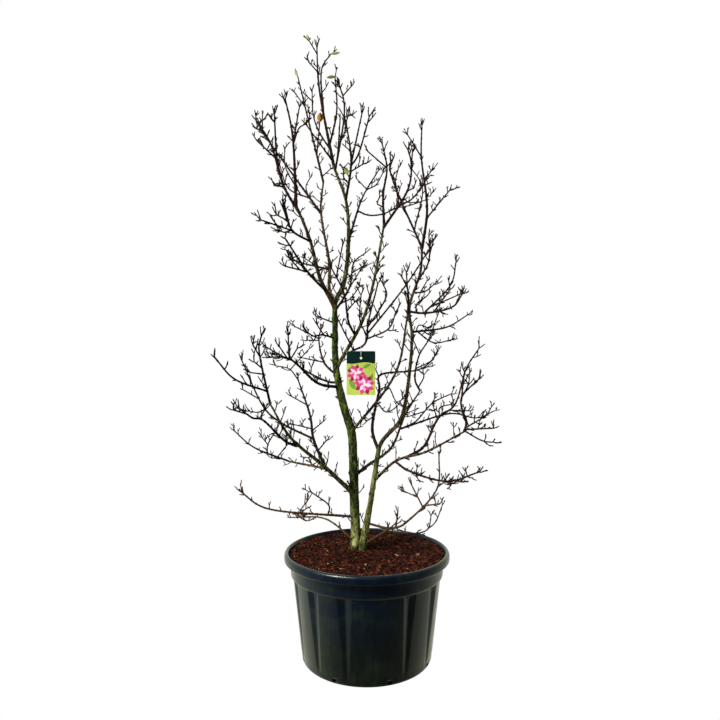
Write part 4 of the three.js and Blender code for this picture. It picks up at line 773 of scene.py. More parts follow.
def ring_faces(rings, columns):
    """The quads between rings of places, each ring closed on itself."""
    faces = []
    for i in range(rings - 1):
        for k in range(columns):
            a = i * columns + k
            b = i * columns + (k + 1) % columns
            faces.append((a, b, b + columns, a + columns))
    return faces


class Mesher:
    """Gathers tubes, sheets and chips, in millimetres, into one mesh with material slots."""

    def __init__(self):
        self.verts = []
        self.faces = []
        self.slots = []
        self.count = 0

    def add(self, verts, faces, slot=0):
        verts = np.asarray(verts, dtype=float).reshape(-1, 3)
        self.verts.append(verts)
        base = self.count
        self.faces += [tuple(base + i for i in face) for face in faces]
        self.slots += [slot] * len(faces)
        self.count += len(verts)

    def tube(self, line, radii, sides, slot=0, relief=None):
        """A round tube with pointed ends; relief moves its skin by the place."""
        line = np.asarray(line, dtype=float)
        normals, binormals = frames_of(line)
        turns = np.linspace(0, 2 * math.pi, sides, endpoint=False)
        out = normals[:, None, :] * np.cos(turns)[None, :, None]
        out = out + binormals[:, None, :] * np.sin(turns)[None, :, None]
        skin = line[:, None, :] + out * np.asarray(radii, dtype=float)[:, None, None]
        if relief is not None:
            skin = skin + out * relief(skin)[:, :, None]
        n = len(line)
        verts = np.vstack((skin.reshape(-1, 3), line[:1], line[-1:]))
        ends = (n * sides, n * sides + 1)
        faces = ring_faces(n, sides)
        top = (n - 1) * sides
        for k in range(sides):
            faces.append(((k + 1) % sides, k, ends[0]))
            faces.append((top + k, top + (k + 1) % sides, ends[1]))
        self.add(verts, faces, slot)

    def build(self, name, materials, smooth=True):
        """The object with all that was gathered, in metres."""
        mesh = bpy.data.meshes.new(name)
        mesh.from_pydata((np.vstack(self.verts) * MM).tolist(), [], self.faces)
        for material in materials:
            mesh.materials.append(material)
        mesh.polygons.foreach_set("material_index", self.slots)
        mesh.polygons.foreach_set("use_smooth", [smooth] * len(self.faces))
        mesh.update()
        made = bpy.data.objects.new(name, mesh)
        bpy.context.scene.collection.objects.link(made)
        return made


def frames_of(line):
    """A normal and binormal at each place of a line, carried along without twist."""
    tangents = np.gradient(line, axis=0)
    tangents /= np.linalg.norm(tangents, axis=1)[:, None] + 1e-12
    normal = np.cross((0.2, 1.0, 0.1), tangents[0])
    normals = np.zeros_like(line)
    for i, tangent in enumerate(tangents):
        normal = unit(normal - tangent * float(np.dot(normal, tangent)))
        normals[i] = normal
    return normals, np.cross(tangents, normals)


def at_length(line, run, s):
    return np.array([np.interp(s, run, line[:, k]) for k in range(3)])


def tangent_at(line, run, s):
    """The line's heading at a length."""
    ahead = at_length(line, run, min(run[-1], s + TANGENT_REACH))
    return unit(ahead - at_length(line, run, max(0, s - TANGENT_REACH)))


# Colours and materials

# The pot's plastic: dark where it is clean and dusty elsewhere; greenish black low down, where a reflection
# of the floor is painted in, and bluer at the rim.
POT_PLASTIC_WITH_FOOT_REFLECTION = "#0A100D"
POT_DARK_WITH_FOOT_REFLECTION = "#060A08"
POT_DUST = "#151D16"
POT_NAVY = "#020913"
POT_RIM = "#04101D"

# Settings that several nodes share.
SMOOTH = {"interpolation_type": "SMOOTHSTEP"}
MULTIPLY = {"operation": "MULTIPLY"}
MULTIPLY_ADD = {"operation": "MULTIPLY_ADD"}
COLOURS = {"data_type": "RGBA"}


def linear(code):
    """An sRGB hex value as linear red, green and blue."""
    parts = [int(code[i:i + 2], 16) / 255 for i in (1, 3, 5)]
    return tuple(c / 12.92 if c <= 0.04045 else ((c + 0.055) / 1.055) ** 2.4 for c in parts)


def rgba(code):
    return (*linear(code), 1.0)


def per_metre(size_mm):
    """The texture scale that gives a feature of that size, in object coordinates."""
    return 1.0 / (size_mm * MM)


def add_node(tree, kind, inputs=None, settings=None, stops=()):
    """A node with its inputs as values or linked sockets, its settings, and its ramp's stops."""
    node = tree.nodes.new(kind)
    for key, value in (settings or {}).items():
        setattr(node, key, value)
    for key, value in (inputs or {}).items():
        socket = node.inputs[key]
        if isinstance(value, bpy.types.NodeSocket):
            tree.links.new(value, socket)
        else:
            socket.default_value = value
    if stops:
        elements = node.color_ramp.elements
        while len(elements) < len(stops):
            elements.new(0.5)
        for element, (position, code) in zip(elements, stops):
            element.position = position
            element.color = rgba(code)
    return node


def new_material(name):
    """An empty material, its node tree, and its coordinates in metres."""
    material = bpy.data.materials.new(name)
    material.use_nodes = True
    tree = material.node_tree
    tree.nodes.clear()
    place_at = add_node(tree, "ShaderNodeTexCoord").outputs["Object"]
    return material, tree, place_at


def moulded_polyethylene(name, specular, gloss):
    """Injection-moulded black polyethylene: a satin skin, dusty in patches, finely grained, with a painted
    reflection of the floor low down.
    """
    material, tree, at = new_material(name)
    dust = add_node(tree, "ShaderNodeTexNoise", {
        "Vector": at, "Scale": per_metre(90), "Detail": 5.0, "Roughness": 0.62})
    streak_at = add_node(tree, "ShaderNodeMapping", {"Vector": at, "Scale": (1.0, 1.0, 0.12)})
    streaks = add_node(tree, "ShaderNodeTexNoise", {
        "Vector": streak_at.outputs["Vector"], "Scale": per_metre(22), "Detail": 3.0})
    grain = add_node(tree, "ShaderNodeTexNoise", {"Vector": at, "Scale": per_metre(1.6), "Detail": 2.0})
    height = add_node(tree, "ShaderNodeSeparateXYZ", {"Vector": at})
    mixed = add_node(tree, "ShaderNodeMath", {
        0: streaks.outputs["Fac"], 1: 0.5, 2: dust.outputs["Fac"]}, MULTIPLY_ADD)
    # Low down the colour is greener and a little lighter: a painted reflection of the floor.
    low = add_node(tree, "ShaderNodeValToRGB", {"Fac": mixed.outputs["Value"]}, stops=[
        (0.35, POT_DARK_WITH_FOOT_REFLECTION), (0.75, POT_PLASTIC_WITH_FOOT_REFLECTION), (1.0, POT_DUST)])
    # Going up by height, the painted floor reflection fades into the navy of the rim.
    rim = add_node(tree, "ShaderNodeMapRange", {
        "Value": height.outputs["Z"], "From Min": 0.06, "From Max": 0.4}, SMOOTH)
    high = add_node(tree, "ShaderNodeValToRGB", {"Fac": mixed.outputs["Value"]}, stops=[
        (0.35, POT_NAVY), (0.8, POT_RIM), (1.0, POT_DUST)])
    body = add_node(tree, "ShaderNodeMix", {
        "Factor": rim.outputs["Result"], "A": low.outputs["Color"], "B": high.outputs["Color"]}, COLOURS)
    grit = add_node(tree, "ShaderNodeTexNoise", {"Vector": at, "Scale": per_metre(8), "Detail": 2.0})
    speck = add_node(tree, "ShaderNodeMapRange", {
        "Value": grit.outputs["Fac"], "From Min": 0.7, "From Max": 0.78, "To Max": 0.6}, SMOOTH)
    colour = add_node(tree, "ShaderNodeMix", {
        "Factor": speck.outputs["Result"], "A": body.outputs["Result"], "B": rgba("#3A4340")}, COLOURS)
    rough = add_node(tree, "ShaderNodeMapRange", {
        "Value": mixed.outputs["Value"], "From Min": 0.3, "From Max": 1.0,
        "To Min": gloss, "To Max": gloss + 0.18})
    relief = add_node(tree, "ShaderNodeMath", {
        0: grain.outputs["Fac"], 1: 0.3, 2: streaks.outputs["Fac"]}, MULTIPLY_ADD)
    bump = add_node(tree, "ShaderNodeBump", {
        "Height": relief.outputs["Value"], "Strength": 0.25, "Distance": 0.6 * MM})
    shader = add_node(tree, "ShaderNodeBsdfPrincipled", {
        "Base Color": colour.outputs["Result"], "Roughness": rough.outputs["Result"],
        "Normal": bump.outputs["Normal"], "IOR": 1.5, "Specular IOR Level": specular,
        "Specular Tint": rgba("#EDF3DC")})
    add_node(tree, "ShaderNodeOutputMaterial", {"Surface": shader.outputs["BSDF"]})
    return material


def milled_bark(name, dark, light):
    """Milled bark and compost: dull fibrous chips."""
    material, tree, at = new_material(name)
    fibre_at = add_node(tree, "ShaderNodeMapping", {"Vector": at, "Scale": (1.0, 0.35, 1.0)})
    fibre = add_node(tree, "ShaderNodeTexNoise", {
        "Vector": fibre_at.outputs["Vector"], "Scale": per_metre(2.2), "Detail": 4.0, "Roughness": 0.7})
    colour = add_node(tree, "ShaderNodeValToRGB", {"Fac": fibre.outputs["Fac"]}, stops=[
        (0.3, dark), (0.72, light)])
    bump = add_node(tree, "ShaderNodeBump", {
        "Height": fibre.outputs["Fac"], "Strength": 0.8, "Distance": 0.8 * MM})
    shader = add_node(tree, "ShaderNodeBsdfPrincipled", {
        "Base Color": colour.outputs["Color"], "Roughness": 0.92, "Normal": bump.outputs["Normal"],
        "Specular IOR Level": 0.08})
    add_node(tree, "ShaderNodeOutputMaterial", {"Surface": shader.outputs["BSDF"]})
    return material


def lichened_bark(name, low, high, lichen, patch_mm, change=(0.72, 0.98)):
    """Thin smooth bark: pale and flecked low down, then dark under a film of green algae.

    Low and high are each a shade, a middle and a light colour; change is the height, in metres,
    over which one turns into the other.
    """
    material, tree, at = new_material(name)
    drawn = add_node(tree, "ShaderNodeMapping", {"Vector": at, "Scale": (1.0, 1.0, 0.4)})
    along = drawn.outputs["Vector"]
    patches = add_node(tree, "ShaderNodeTexNoise", {
        "Vector": along, "Scale": per_metre(patch_mm), "Detail": 6.0, "Roughness": 0.68})
    height = add_node(tree, "ShaderNodeSeparateXYZ", {"Vector": at})
    wander = add_node(tree, "ShaderNodeMath", {
        0: patches.outputs["Fac"], 1: 0.3, 2: height.outputs["Z"]}, MULTIPLY_ADD)
    share = add_node(tree, "ShaderNodeMapRange", {
        "Value": wander.outputs["Value"], "From Min": change[0] + 0.15,
        "From Max": change[1] + 0.15}, SMOOTH)
    films = []
    for codes in (low, high):
        stops = list(zip((0.36, 0.5, 0.62), codes))
        ramp = add_node(tree, "ShaderNodeValToRGB", {"Fac": patches.outputs["Fac"]}, stops=stops)
        films.append(ramp.outputs["Color"])
    dry = add_node(tree, "ShaderNodeMix", {
        "Factor": share.outputs["Result"], "A": films[0], "B": films[1]}, COLOURS)
    # Darker green at the foot of the stems, just above the compost.
    darker_foot = add_node(tree, "ShaderNodeMapRange", {
        "Value": wander.outputs["Value"], "From Min": 0.65, "From Max": 0.73,
        "To Min": 0.85, "To Max": 0.0}, SMOOTH)
    film = add_node(tree, "ShaderNodeMix", {
        "Factor": darker_foot.outputs["Result"], "A": dry.outputs["Result"], "B": rgba("#2B3414")}, COLOURS)
    flecks = add_node(tree, "ShaderNodeTexNoise", {
        "Vector": along, "Scale": per_metre(11), "Detail": 4.0, "Roughness": 0.7})
    fleck = add_node(tree, "ShaderNodeMapRange", {
        "Value": flecks.outputs["Fac"], "From Min": 0.505, "From Max": 0.57, "To Max": 0.9}, SMOOTH)
    flecked = add_node(tree, "ShaderNodeMix", {
        "Factor": fleck.outputs["Result"], "A": film.outputs["Result"], "B": rgba("#19160C")}, COLOURS)
    spots = add_node(tree, "ShaderNodeTexNoise", {
        "Vector": at, "Scale": per_metre(9), "Detail": 5.0, "Roughness": 0.7})
    spot = add_node(tree, "ShaderNodeMapRange", {
        "Value": spots.outputs["Fac"], "From Min": 0.6, "From Max": 0.68, "To Max": 0.8}, SMOOTH)
    colour = add_node(tree, "ShaderNodeMix", {
        "Factor": spot.outputs["Result"], "A": flecked.outputs["Result"], "B": rgba(lichen)}, COLOURS)
    ridge = add_node(tree, "ShaderNodeTexNoise", {"Vector": along, "Scale": per_metre(2.4), "Detail": 3.0})
    relief = add_node(tree, "ShaderNodeMath", {
        0: fleck.outputs["Result"], 1: -0.8, 2: ridge.outputs["Fac"]}, MULTIPLY_ADD)
    bump = add_node(tree, "ShaderNodeBump", {
        "Height": relief.outputs["Value"], "Strength": 1.0, "Distance": 1.8 * MM})
    shader = add_node(tree, "ShaderNodeBsdfPrincipled", {
        "Base Color": colour.outputs["Result"], "Roughness": 0.85, "Normal": bump.outputs["Normal"],
        "Specular IOR Level": 0.12})
    add_node(tree, "ShaderNodeOutputMaterial", {"Surface": shader.outputs["BSDF"]})
    return material


def young_bark(name, colour_code, grain_mm=1.5):
    """Young twig bark, bud scales or a dry leaf: one dull colour with a fine raised grain."""
    material, tree, at = new_material(name)
    grain = add_node(tree, "ShaderNodeTexNoise", {
        "Vector": at, "Scale": per_metre(grain_mm), "Detail": 3.0})
    bump = add_node(tree, "ShaderNodeBump", {
        "Height": grain.outputs["Fac"], "Strength": 0.5, "Distance": 0.4 * MM})
    shader = add_node(tree, "ShaderNodeBsdfPrincipled", {
        "Base Color": rgba(colour_code), "Roughness": 0.8, "Normal": bump.outputs["Normal"],
        "Specular IOR Level": 0.08})
    add_node(tree, "ShaderNodeOutputMaterial", {"Surface": shader.outputs["BSDF"]})
    return material


def printed_card(name, colour_code):
    """Printed polypropylene card: smooth ink under a clear gloss."""
    material, tree, at = new_material(name)
    ink = add_node(tree, "ShaderNodeTexNoise", {"Vector": at, "Scale": per_metre(5), "Detail": 2.0})
    tone = add_node(tree, "ShaderNodeMapRange", {
        "Value": ink.outputs["Fac"], "From Min": 0.25, "From Max": 0.75, "To Min": 0.88, "To Max": 1.08})
    shade = add_node(tree, "ShaderNodeHueSaturation", {
        "Color": rgba(colour_code), "Value": tone.outputs["Result"]})
    shader = add_node(tree, "ShaderNodeBsdfPrincipled", {
        "Base Color": shade.outputs["Color"], "Roughness": 0.4, "IOR": 1.49, "Specular IOR Level": 0.15})
    add_node(tree, "ShaderNodeOutputMaterial", {"Surface": shader.outputs["BSDF"]})
    return material


# Settings

class PotSettings(bpy.types.PropertyGroup):
    flute_depth: bpy.props.FloatProperty(
        name="Flute depth", description="How deep the upright grooves are pressed in",
        default=0.013, unit="LENGTH")
    chips: bpy.props.IntProperty(name="Bark chips", description="Chips on the compost", default=9500)


class TwigSettings(bpy.types.PropertyGroup):
    spur_step: bpy.props.FloatProperty(
        name="Spur step", description="Mean distance between the nodes with spurs",
        default=0.072, unit="LENGTH")
    bud_length: bpy.props.FloatProperty(
        name="Bud length", description="Length of a winter bud", default=0.011, unit="LENGTH")
    girth: bpy.props.FloatProperty(name="Girth", description="Thickness of the twigs", default=1.16)


class StageSettings(bpy.types.PropertyGroup):
    floor: bpy.props.FloatVectorProperty(
        name="Floor", description="Colour of the floor", subtype="COLOR", default=linear("#A8A8A6"))
    world: bpy.props.FloatProperty(
        name="World mirrored", description="Strength of the world behind, as the pot mirrors it",
        default=1.6)
    fill: bpy.props.FloatProperty(
        name="World fill", description="Strength of the even light from all around", default=0.22)


# Pot and compost

def pot_profile():
    """Radius, height and how far the flutes press in, up the outside, over the lip and down inside."""
    foot = [(0, 0, 0), (250, 0, 0), (311, 0, 0), (318, 0.5, 0), (322, 1.8, 0), (323.2, 4, 0),
            (324.2, 7, 0), (325, 10, 0), (325.8, 22, 0), (327.5, 34, 0.35), (330, 48, 1)]
    wall = [(330 + 41.5 * k / 12, 48 + 346 * k / 12, 1) for k in range(1, 12)]
    shoulder = [(372, 396, 1), (373, 402, 0.6), (374.5, 404, 0.15), (377.5, 405, 0), (380.5, 407, 0)]
    collar = [(383, 410.5, 0), (384.4, 415.5, 0), (384.8, 424, 0), (385.4, 450, 0), (386, 468, 0),
              (388, 474, 0), (394, 476.5, 0), (406, 477, 0)]
    lip = [(413, 478.5, 0), (416.5, 482, 0), (418, 488, 0), (418, 500, 0), (417.2, 508, 0),
           (414.5, 514, 0), (410, 518, 0), (406, 519.6, 0), (402, 519.2, 0), (398.5, 516, 0)]
    mouth = [(396.5, 511, 0), (394, 503, 0), (389, 487, 0), (380, 455, 0)]
    return foot + wall + shoulder + collar + lip + mouth


def turned_off(turn, first, count):
    """How far each angle is from the nearest of evenly spaced places."""
    period = 360.0 / count
    return np.abs((turn - first + period / 2) % period - period / 2)


def flute_off(turn):
    """How far each angle is from the nearest flute."""
    offs = [turned_off(turn, PANEL_TURN + side * (PANEL_WIDTH / 2 + FLUTE_PITCH * k), 1)
            for side in (-1, 1) for k in range(FLUTES // 2)]
    return np.min(offs, axis=0)


def build_pot(settings):
    """The moulded shell: two plain panels, twelve tapering flutes, and slots round the foot."""
    mesher = Mesher()
    turn = np.arange(POT_COLUMNS) * 360.0 / POT_COLUMNS
    angle = np.radians(turn)
    off = flute_off(turn)
    cut = turned_off(turn, SLOT_TURN, SLOTS) < SLOT_HALF_TURN
    seam = np.exp(-(turned_off(turn, SEAM_TURN, 2) / SEAM_HALF_TURN) ** 2)
    rows = pot_profile()
    rings = []
    for radius, height, press in rows:
        taper = min(1.0, height / FLUTE_TOP)
        half = FLUTE_HALF_TURN + FLUTE_GAIN * taper
        groove = np.clip(1.12 * (1 - off / half), 0, 1) * (0.15 + 0.85 * taper)
        r = radius - press * settings.flute_depth / MM * groove + SEAM_RISE * seam * (press > 0.5)
        if SLOT_LOW < height < SLOT_HIGH:
            r = np.where(cut, np.minimum(r, SLOT_BACK), r)
        level = np.full(POT_COLUMNS, float(height))
        rings.append(np.stack((r * np.sin(angle), -r * np.cos(angle), level), axis=1))
    lip_from = next(i for i, (radius, _, _) in enumerate(rows) if radius > LIP_START)
    for first, last, slot in ((0, lip_from, 0), (lip_from, len(rows) - 1, 1)):
        faces = ring_faces(last - first + 1, POT_COLUMNS)
        mesher.add(np.vstack(rings[first:last + 1]), faces, slot)
    return mesher.build("pot_shell", [
        moulded_polyethylene("moulded_black_polyethylene", 0.7, 0.2),
        moulded_polyethylene("rubbed_black_polyethylene", 0.4, 0.2)])


CHIP_TONES = [("dark_bark_chip", "#080302", "#1B0C07"), ("red_bark_chip", "#230E08", "#512317"),
              ("brown_bark_chip", "#150906", "#371A12"), ("rust_bark_chip", "#401D0E", "#744026"),
              ("pale_wood_chip", "#8A6A48", "#C9A87C")]
# Where the share of each tone ends, out of one.
CHIP_SHARES = (0.34, 0.66, 0.9, 0.997)


def heave(x, y):
    """How far the compost's surface rises or sinks at a place."""
    return 4.5 * noise.noise(Vector((x / 55, y / 55, 3.1)))


def build_compost(settings):
    """A rough bed, and chips of bark strewn over it."""
    bed = Mesher()
    rings = [0, 12] + list(range(30, BED_RADIUS + 1, 13)) + [BED_RADIUS]
    verts = []
    for radius in rings:
        for k in range(BED_COLUMNS):
            angle = 2 * math.pi * k / BED_COLUMNS
            x, y = radius * math.cos(angle), radius * math.sin(angle)
            crumbs = 2.5 * noise.noise(Vector((x / 14, y / 14, 7.7)))
            verts.append((x, y, SOIL_LEVEL - 5 + heave(x, y) + crumbs))
    bed.add(verts, [(a, d, c, b) for a, b, c, d in ring_faces(len(rings), BED_COLUMNS)])
    bed_piece = bed.build("compost_bed", [milled_bark("fine_compost", "#0A0403", "#2A130B")])

    dice = dice_for("chips")
    chips = Mesher()
    corners = np.array([(x, y, z) for z in (-1, 1) for y in (-1, 1) for x in (-1, 1)], dtype=float)
    box = [(0, 2, 3, 1), (4, 5, 7, 6), (0, 1, 5, 4), (2, 6, 7, 3), (0, 4, 6, 2), (1, 3, 7, 5)]
    for _ in range(settings.chips):
        radius = CHIP_REACH * math.sqrt(dice.roll())
        angle = 2 * math.pi * dice.roll()
        x, y = radius * math.cos(angle), radius * math.sin(angle)
        big = dice.roll() ** 3
        long = 3.4 + 4.0 * dice.roll() + 8 * big
        wide = 1.3 + 1.9 * dice.roll() + 3 * big
        thick = 0.6 + 0.9 * dice.roll()
        shape = corners * (long, wide, thick)
        shape[:, 0] += corners[:, 1] * long * (dice.roll() - 0.5) * 0.5
        shape[:, 1] *= 1 + corners[:, 0] * (dice.roll() - 0.5) * 0.8
        spin = 6.283 * dice.roll()
        lift = 0.7 * (dice.roll() - 0.5)
        roll = 1.2 * (dice.roll() - 0.5)
        along = shape[:, 0]
        across = shape[:, 1] * math.cos(roll) - shape[:, 2] * math.sin(roll)
        up = shape[:, 1] * math.sin(roll) + shape[:, 2] * math.cos(roll) + along * math.sin(lift)
        z = SOIL_LEVEL - 3.4 + heave(x, y) + 4.5 * dice.roll()
        cs, sn = math.cos(spin), math.sin(spin)
        chip = np.stack((x + along * cs - across * sn, y + along * sn + across * cs, z + up), axis=1)
        pick = dice.roll()
        chips.add(chip, box, sum(pick >= share for share in CHIP_SHARES))
    chip_piece = chips.build("bark_chips", [milled_bark(*tone) for tone in CHIP_TONES], smooth=False)
    return bed_piece, chip_piece


# Stems and boughs

# Barks, each a shade, a middle and a light colour.
PALE_BARK = ("#2C2C14", "#77783E", "#B0B070")
MOSSY_BARK = ("#141A0A", "#364518", "#5F702A")
GREEN_BARK = ("#23220F", "#4A4B24", "#747446")
BROWN_BARK = ("#1E170F", "#40351F", "#665B3C")
GREEN_BOUGHS = ("leader_bough", "middle_bough", "low_left_bough")

# The skin: how many sides, and the step between rings.
STEM_SKIN = (34, 2.6)
BOUGH_SKIN = (16, 3)
# How far a limb that goes on reaches back into its carrier's tip.
OVERLAP = 9


def knots_on(name):
    """Where other limbs leave a limb, with their radii."""
    grown = crown()
    found = []
    for other, on in CARRIERS.items():
        if on == name and not grown.limbs[other][0].goes_on:
            tube = grown.limbs[other][0]
            foot = np.array(tube.points[0])
            found.append((foot, unit(np.array(tube.points[1]) - foot), float(tube.radii[0])))
    return found


def scars_on(line, radii, dice):
    """Old bud scars up a limb: each its foot, its place on the skin, the tangent, and its size."""
    run = run_of(line)
    scars = []
    turn = dice.roll() * 6.28
    s = 14 + 30 * dice.roll()
    while s < run[-1]:
        foot, tangent = at_length(line, run, s), tangent_at(line, run, s)
        radius = float(np.interp(s, run, radii))
        turn += GOLDEN_TURN
        out = unit(np.cross(spur_heading(tangent, 1.4, turn), tangent))
        scars.append((foot, foot + out * radius, tangent, 0.09 * radius + 0.5 + 0.9 * dice.roll()))
        s += (22 + 34 * dice.roll()) * (0.7 + radius / 24)
    return scars


def bark_relief(girth, knots, scars, seed):
    """How far the bark stands out at each place: lumps, ridges, scars, and a collar at each fork."""
    def relief(skin):
        """The lift at each place of a skin, ring by ring."""
        rows, sides, _ = skin.shape
        lift = np.zeros((rows, sides))
        for i in range(rows):
            for k in range(sides):
                x, y, z = skin[i, k]
                lumps = noise.noise(Vector((x / 24, y / 24, z / 46 + seed)))
                ridges = noise.noise(Vector((x / 5, y / 5, z / 15 + seed)))
                lift[i, k] = girth * (0.085 * lumps + 0.035 * ridges)
        for foot, way, radius in knots:
            out = foot + way * (girth + radius * 0.3)
            gap = np.linalg.norm(skin - out, axis=2)
            lift += 0.42 * radius * np.exp(-((gap / (1.5 * radius)) ** 2))
        for foot, place_out, tangent, size in scars:
            near = np.linalg.norm(skin - foot, axis=2) < 2.2 * girth + 6
            ring = np.exp(-(((skin - foot) @ tangent) / 2.6) ** 2) * near
            lump = np.exp(-(np.linalg.norm(skin - place_out, axis=2) / (2.4 * size + 2)) ** 2)
            lift += 0.35 * size * ring + 1.3 * size * lump
        return lift
    return relief


def limb_line(tube, step):
    """A limb's middle line, drawn back into its carrier where it goes on from one."""
    line = tube.smooth
    if tube.goes_on:
        back = unit(line[1] - line[0])
        line = np.vstack((line[:1] - back * OVERLAP, line))
    return respaced(line, step)


def add_limb(mesher, name, skin, slot):
    """A limb's skin, swollen where it leaves its carrier, with knots, scars and rough bark."""
    sides, step = skin
    tube = crown().limbs[name][0]
    line = limb_line(tube, step)
    run = run_of(line)
    thin_run = run_of(np.array(tube.points))
    radii = np.interp(run * thin_run[-1] / run[-1], thin_run, tube.radii)
    if not tube.goes_on and name not in STEM_NAMES:
        radii = radii * (1 + 0.38 * np.exp(-run / (2.2 * tube.radii[0])))
    knots = knots_on(name)
    scars = scars_on(line, radii, dice_for("bark", len(name)))
    mesher.tube(line, radii, sides, slot, bark_relief(float(tube.radii[0]), knots, scars, len(name)))


def build_stems():
    """The two stems in one piece, each with a bark of its own."""
    mesher = Mesher()
    for slot, name in enumerate(STEM_NAMES):
        add_limb(mesher, name, STEM_SKIN, slot)
    return mesher.build("stems", [
        lichened_bark("main_stem_bark", PALE_BARK, MOSSY_BARK, "#8B9060", 26, (0.56, 0.78)),
        lichened_bark("second_stem_bark", PALE_BARK, MOSSY_BARK, "#A3A66F", 22, (0.78, 1.02))])


def build_boughs():
    """The ten boughs in one piece, some greener and some browner."""
    mesher = Mesher()
    for name, *_ in BOUGHS:
        add_limb(mesher, name, BOUGH_SKIN, 0 if name in GREEN_BOUGHS else 1)
    return mesher.build("boughs", [
        lichened_bark("green_bough_bark", GREEN_BARK, GREEN_BARK, "#7C8052", 20),
        lichened_bark("brown_bough_bark", BROWN_BARK, BROWN_BARK, "#6B6A46", 16)])


# Twigs and buds

# The tan tone is a painted highlight: it stands in for twigs that catch the light.
TWIG_TONES = [("dark_twig_bark", "#140D0A"), ("brown_twig_bark", "#241610"), ("red_twig_bark", "#2C1812"),
              ("grey_twig_bark", "#1F1812"), ("tan_lit_twig_bark", "#453424")]
BUD_TONES = [("brown_bud_scale", "#2F2118"), ("grey_bud_scale", "#43362A"), ("dark_bud_scale", "#1D130E")]
# The lowest sprays all take the tan tone, a painted highlight of twigs that catch the light.
TAN_SPRAYS = ("low_left_twigs", "low_rear_twigs", "sucker", "low_right_twigs", "low_right_rear_twigs")

# How round and how finely stepped the twigs and buds are.
SHOOT_SIDES, SHOOT_STEP = 7, 9
TWIGLET_SIDES, TWIGLET_STEP = 5, 7
BUD_SIDES = 6
# A bud's shape: its girth as a share of its length, and the shares of both from its foot to its tip.
BUD_GIRTH = 0.27
BUD_PLACES = np.array((-0.3, 0.1, 0.38, 0.7, 0.95))
BUD_SWELL = np.array((0.5, 0.92, 1.0, 0.66, 0.2))
# Where the spurs of a stem or bough start, and the mean step between them.
STEM_SPURS = (120, 120)
BOUGH_SPURS = (34, 39)
# A twiglet longer than the first forks, and one longer than the second may fork twice. No twiglet's
# tip is thinner than the last.
FORK_FROM, FORK_TWICE_FROM = 20, 38
LEAST_TIP = 1.9


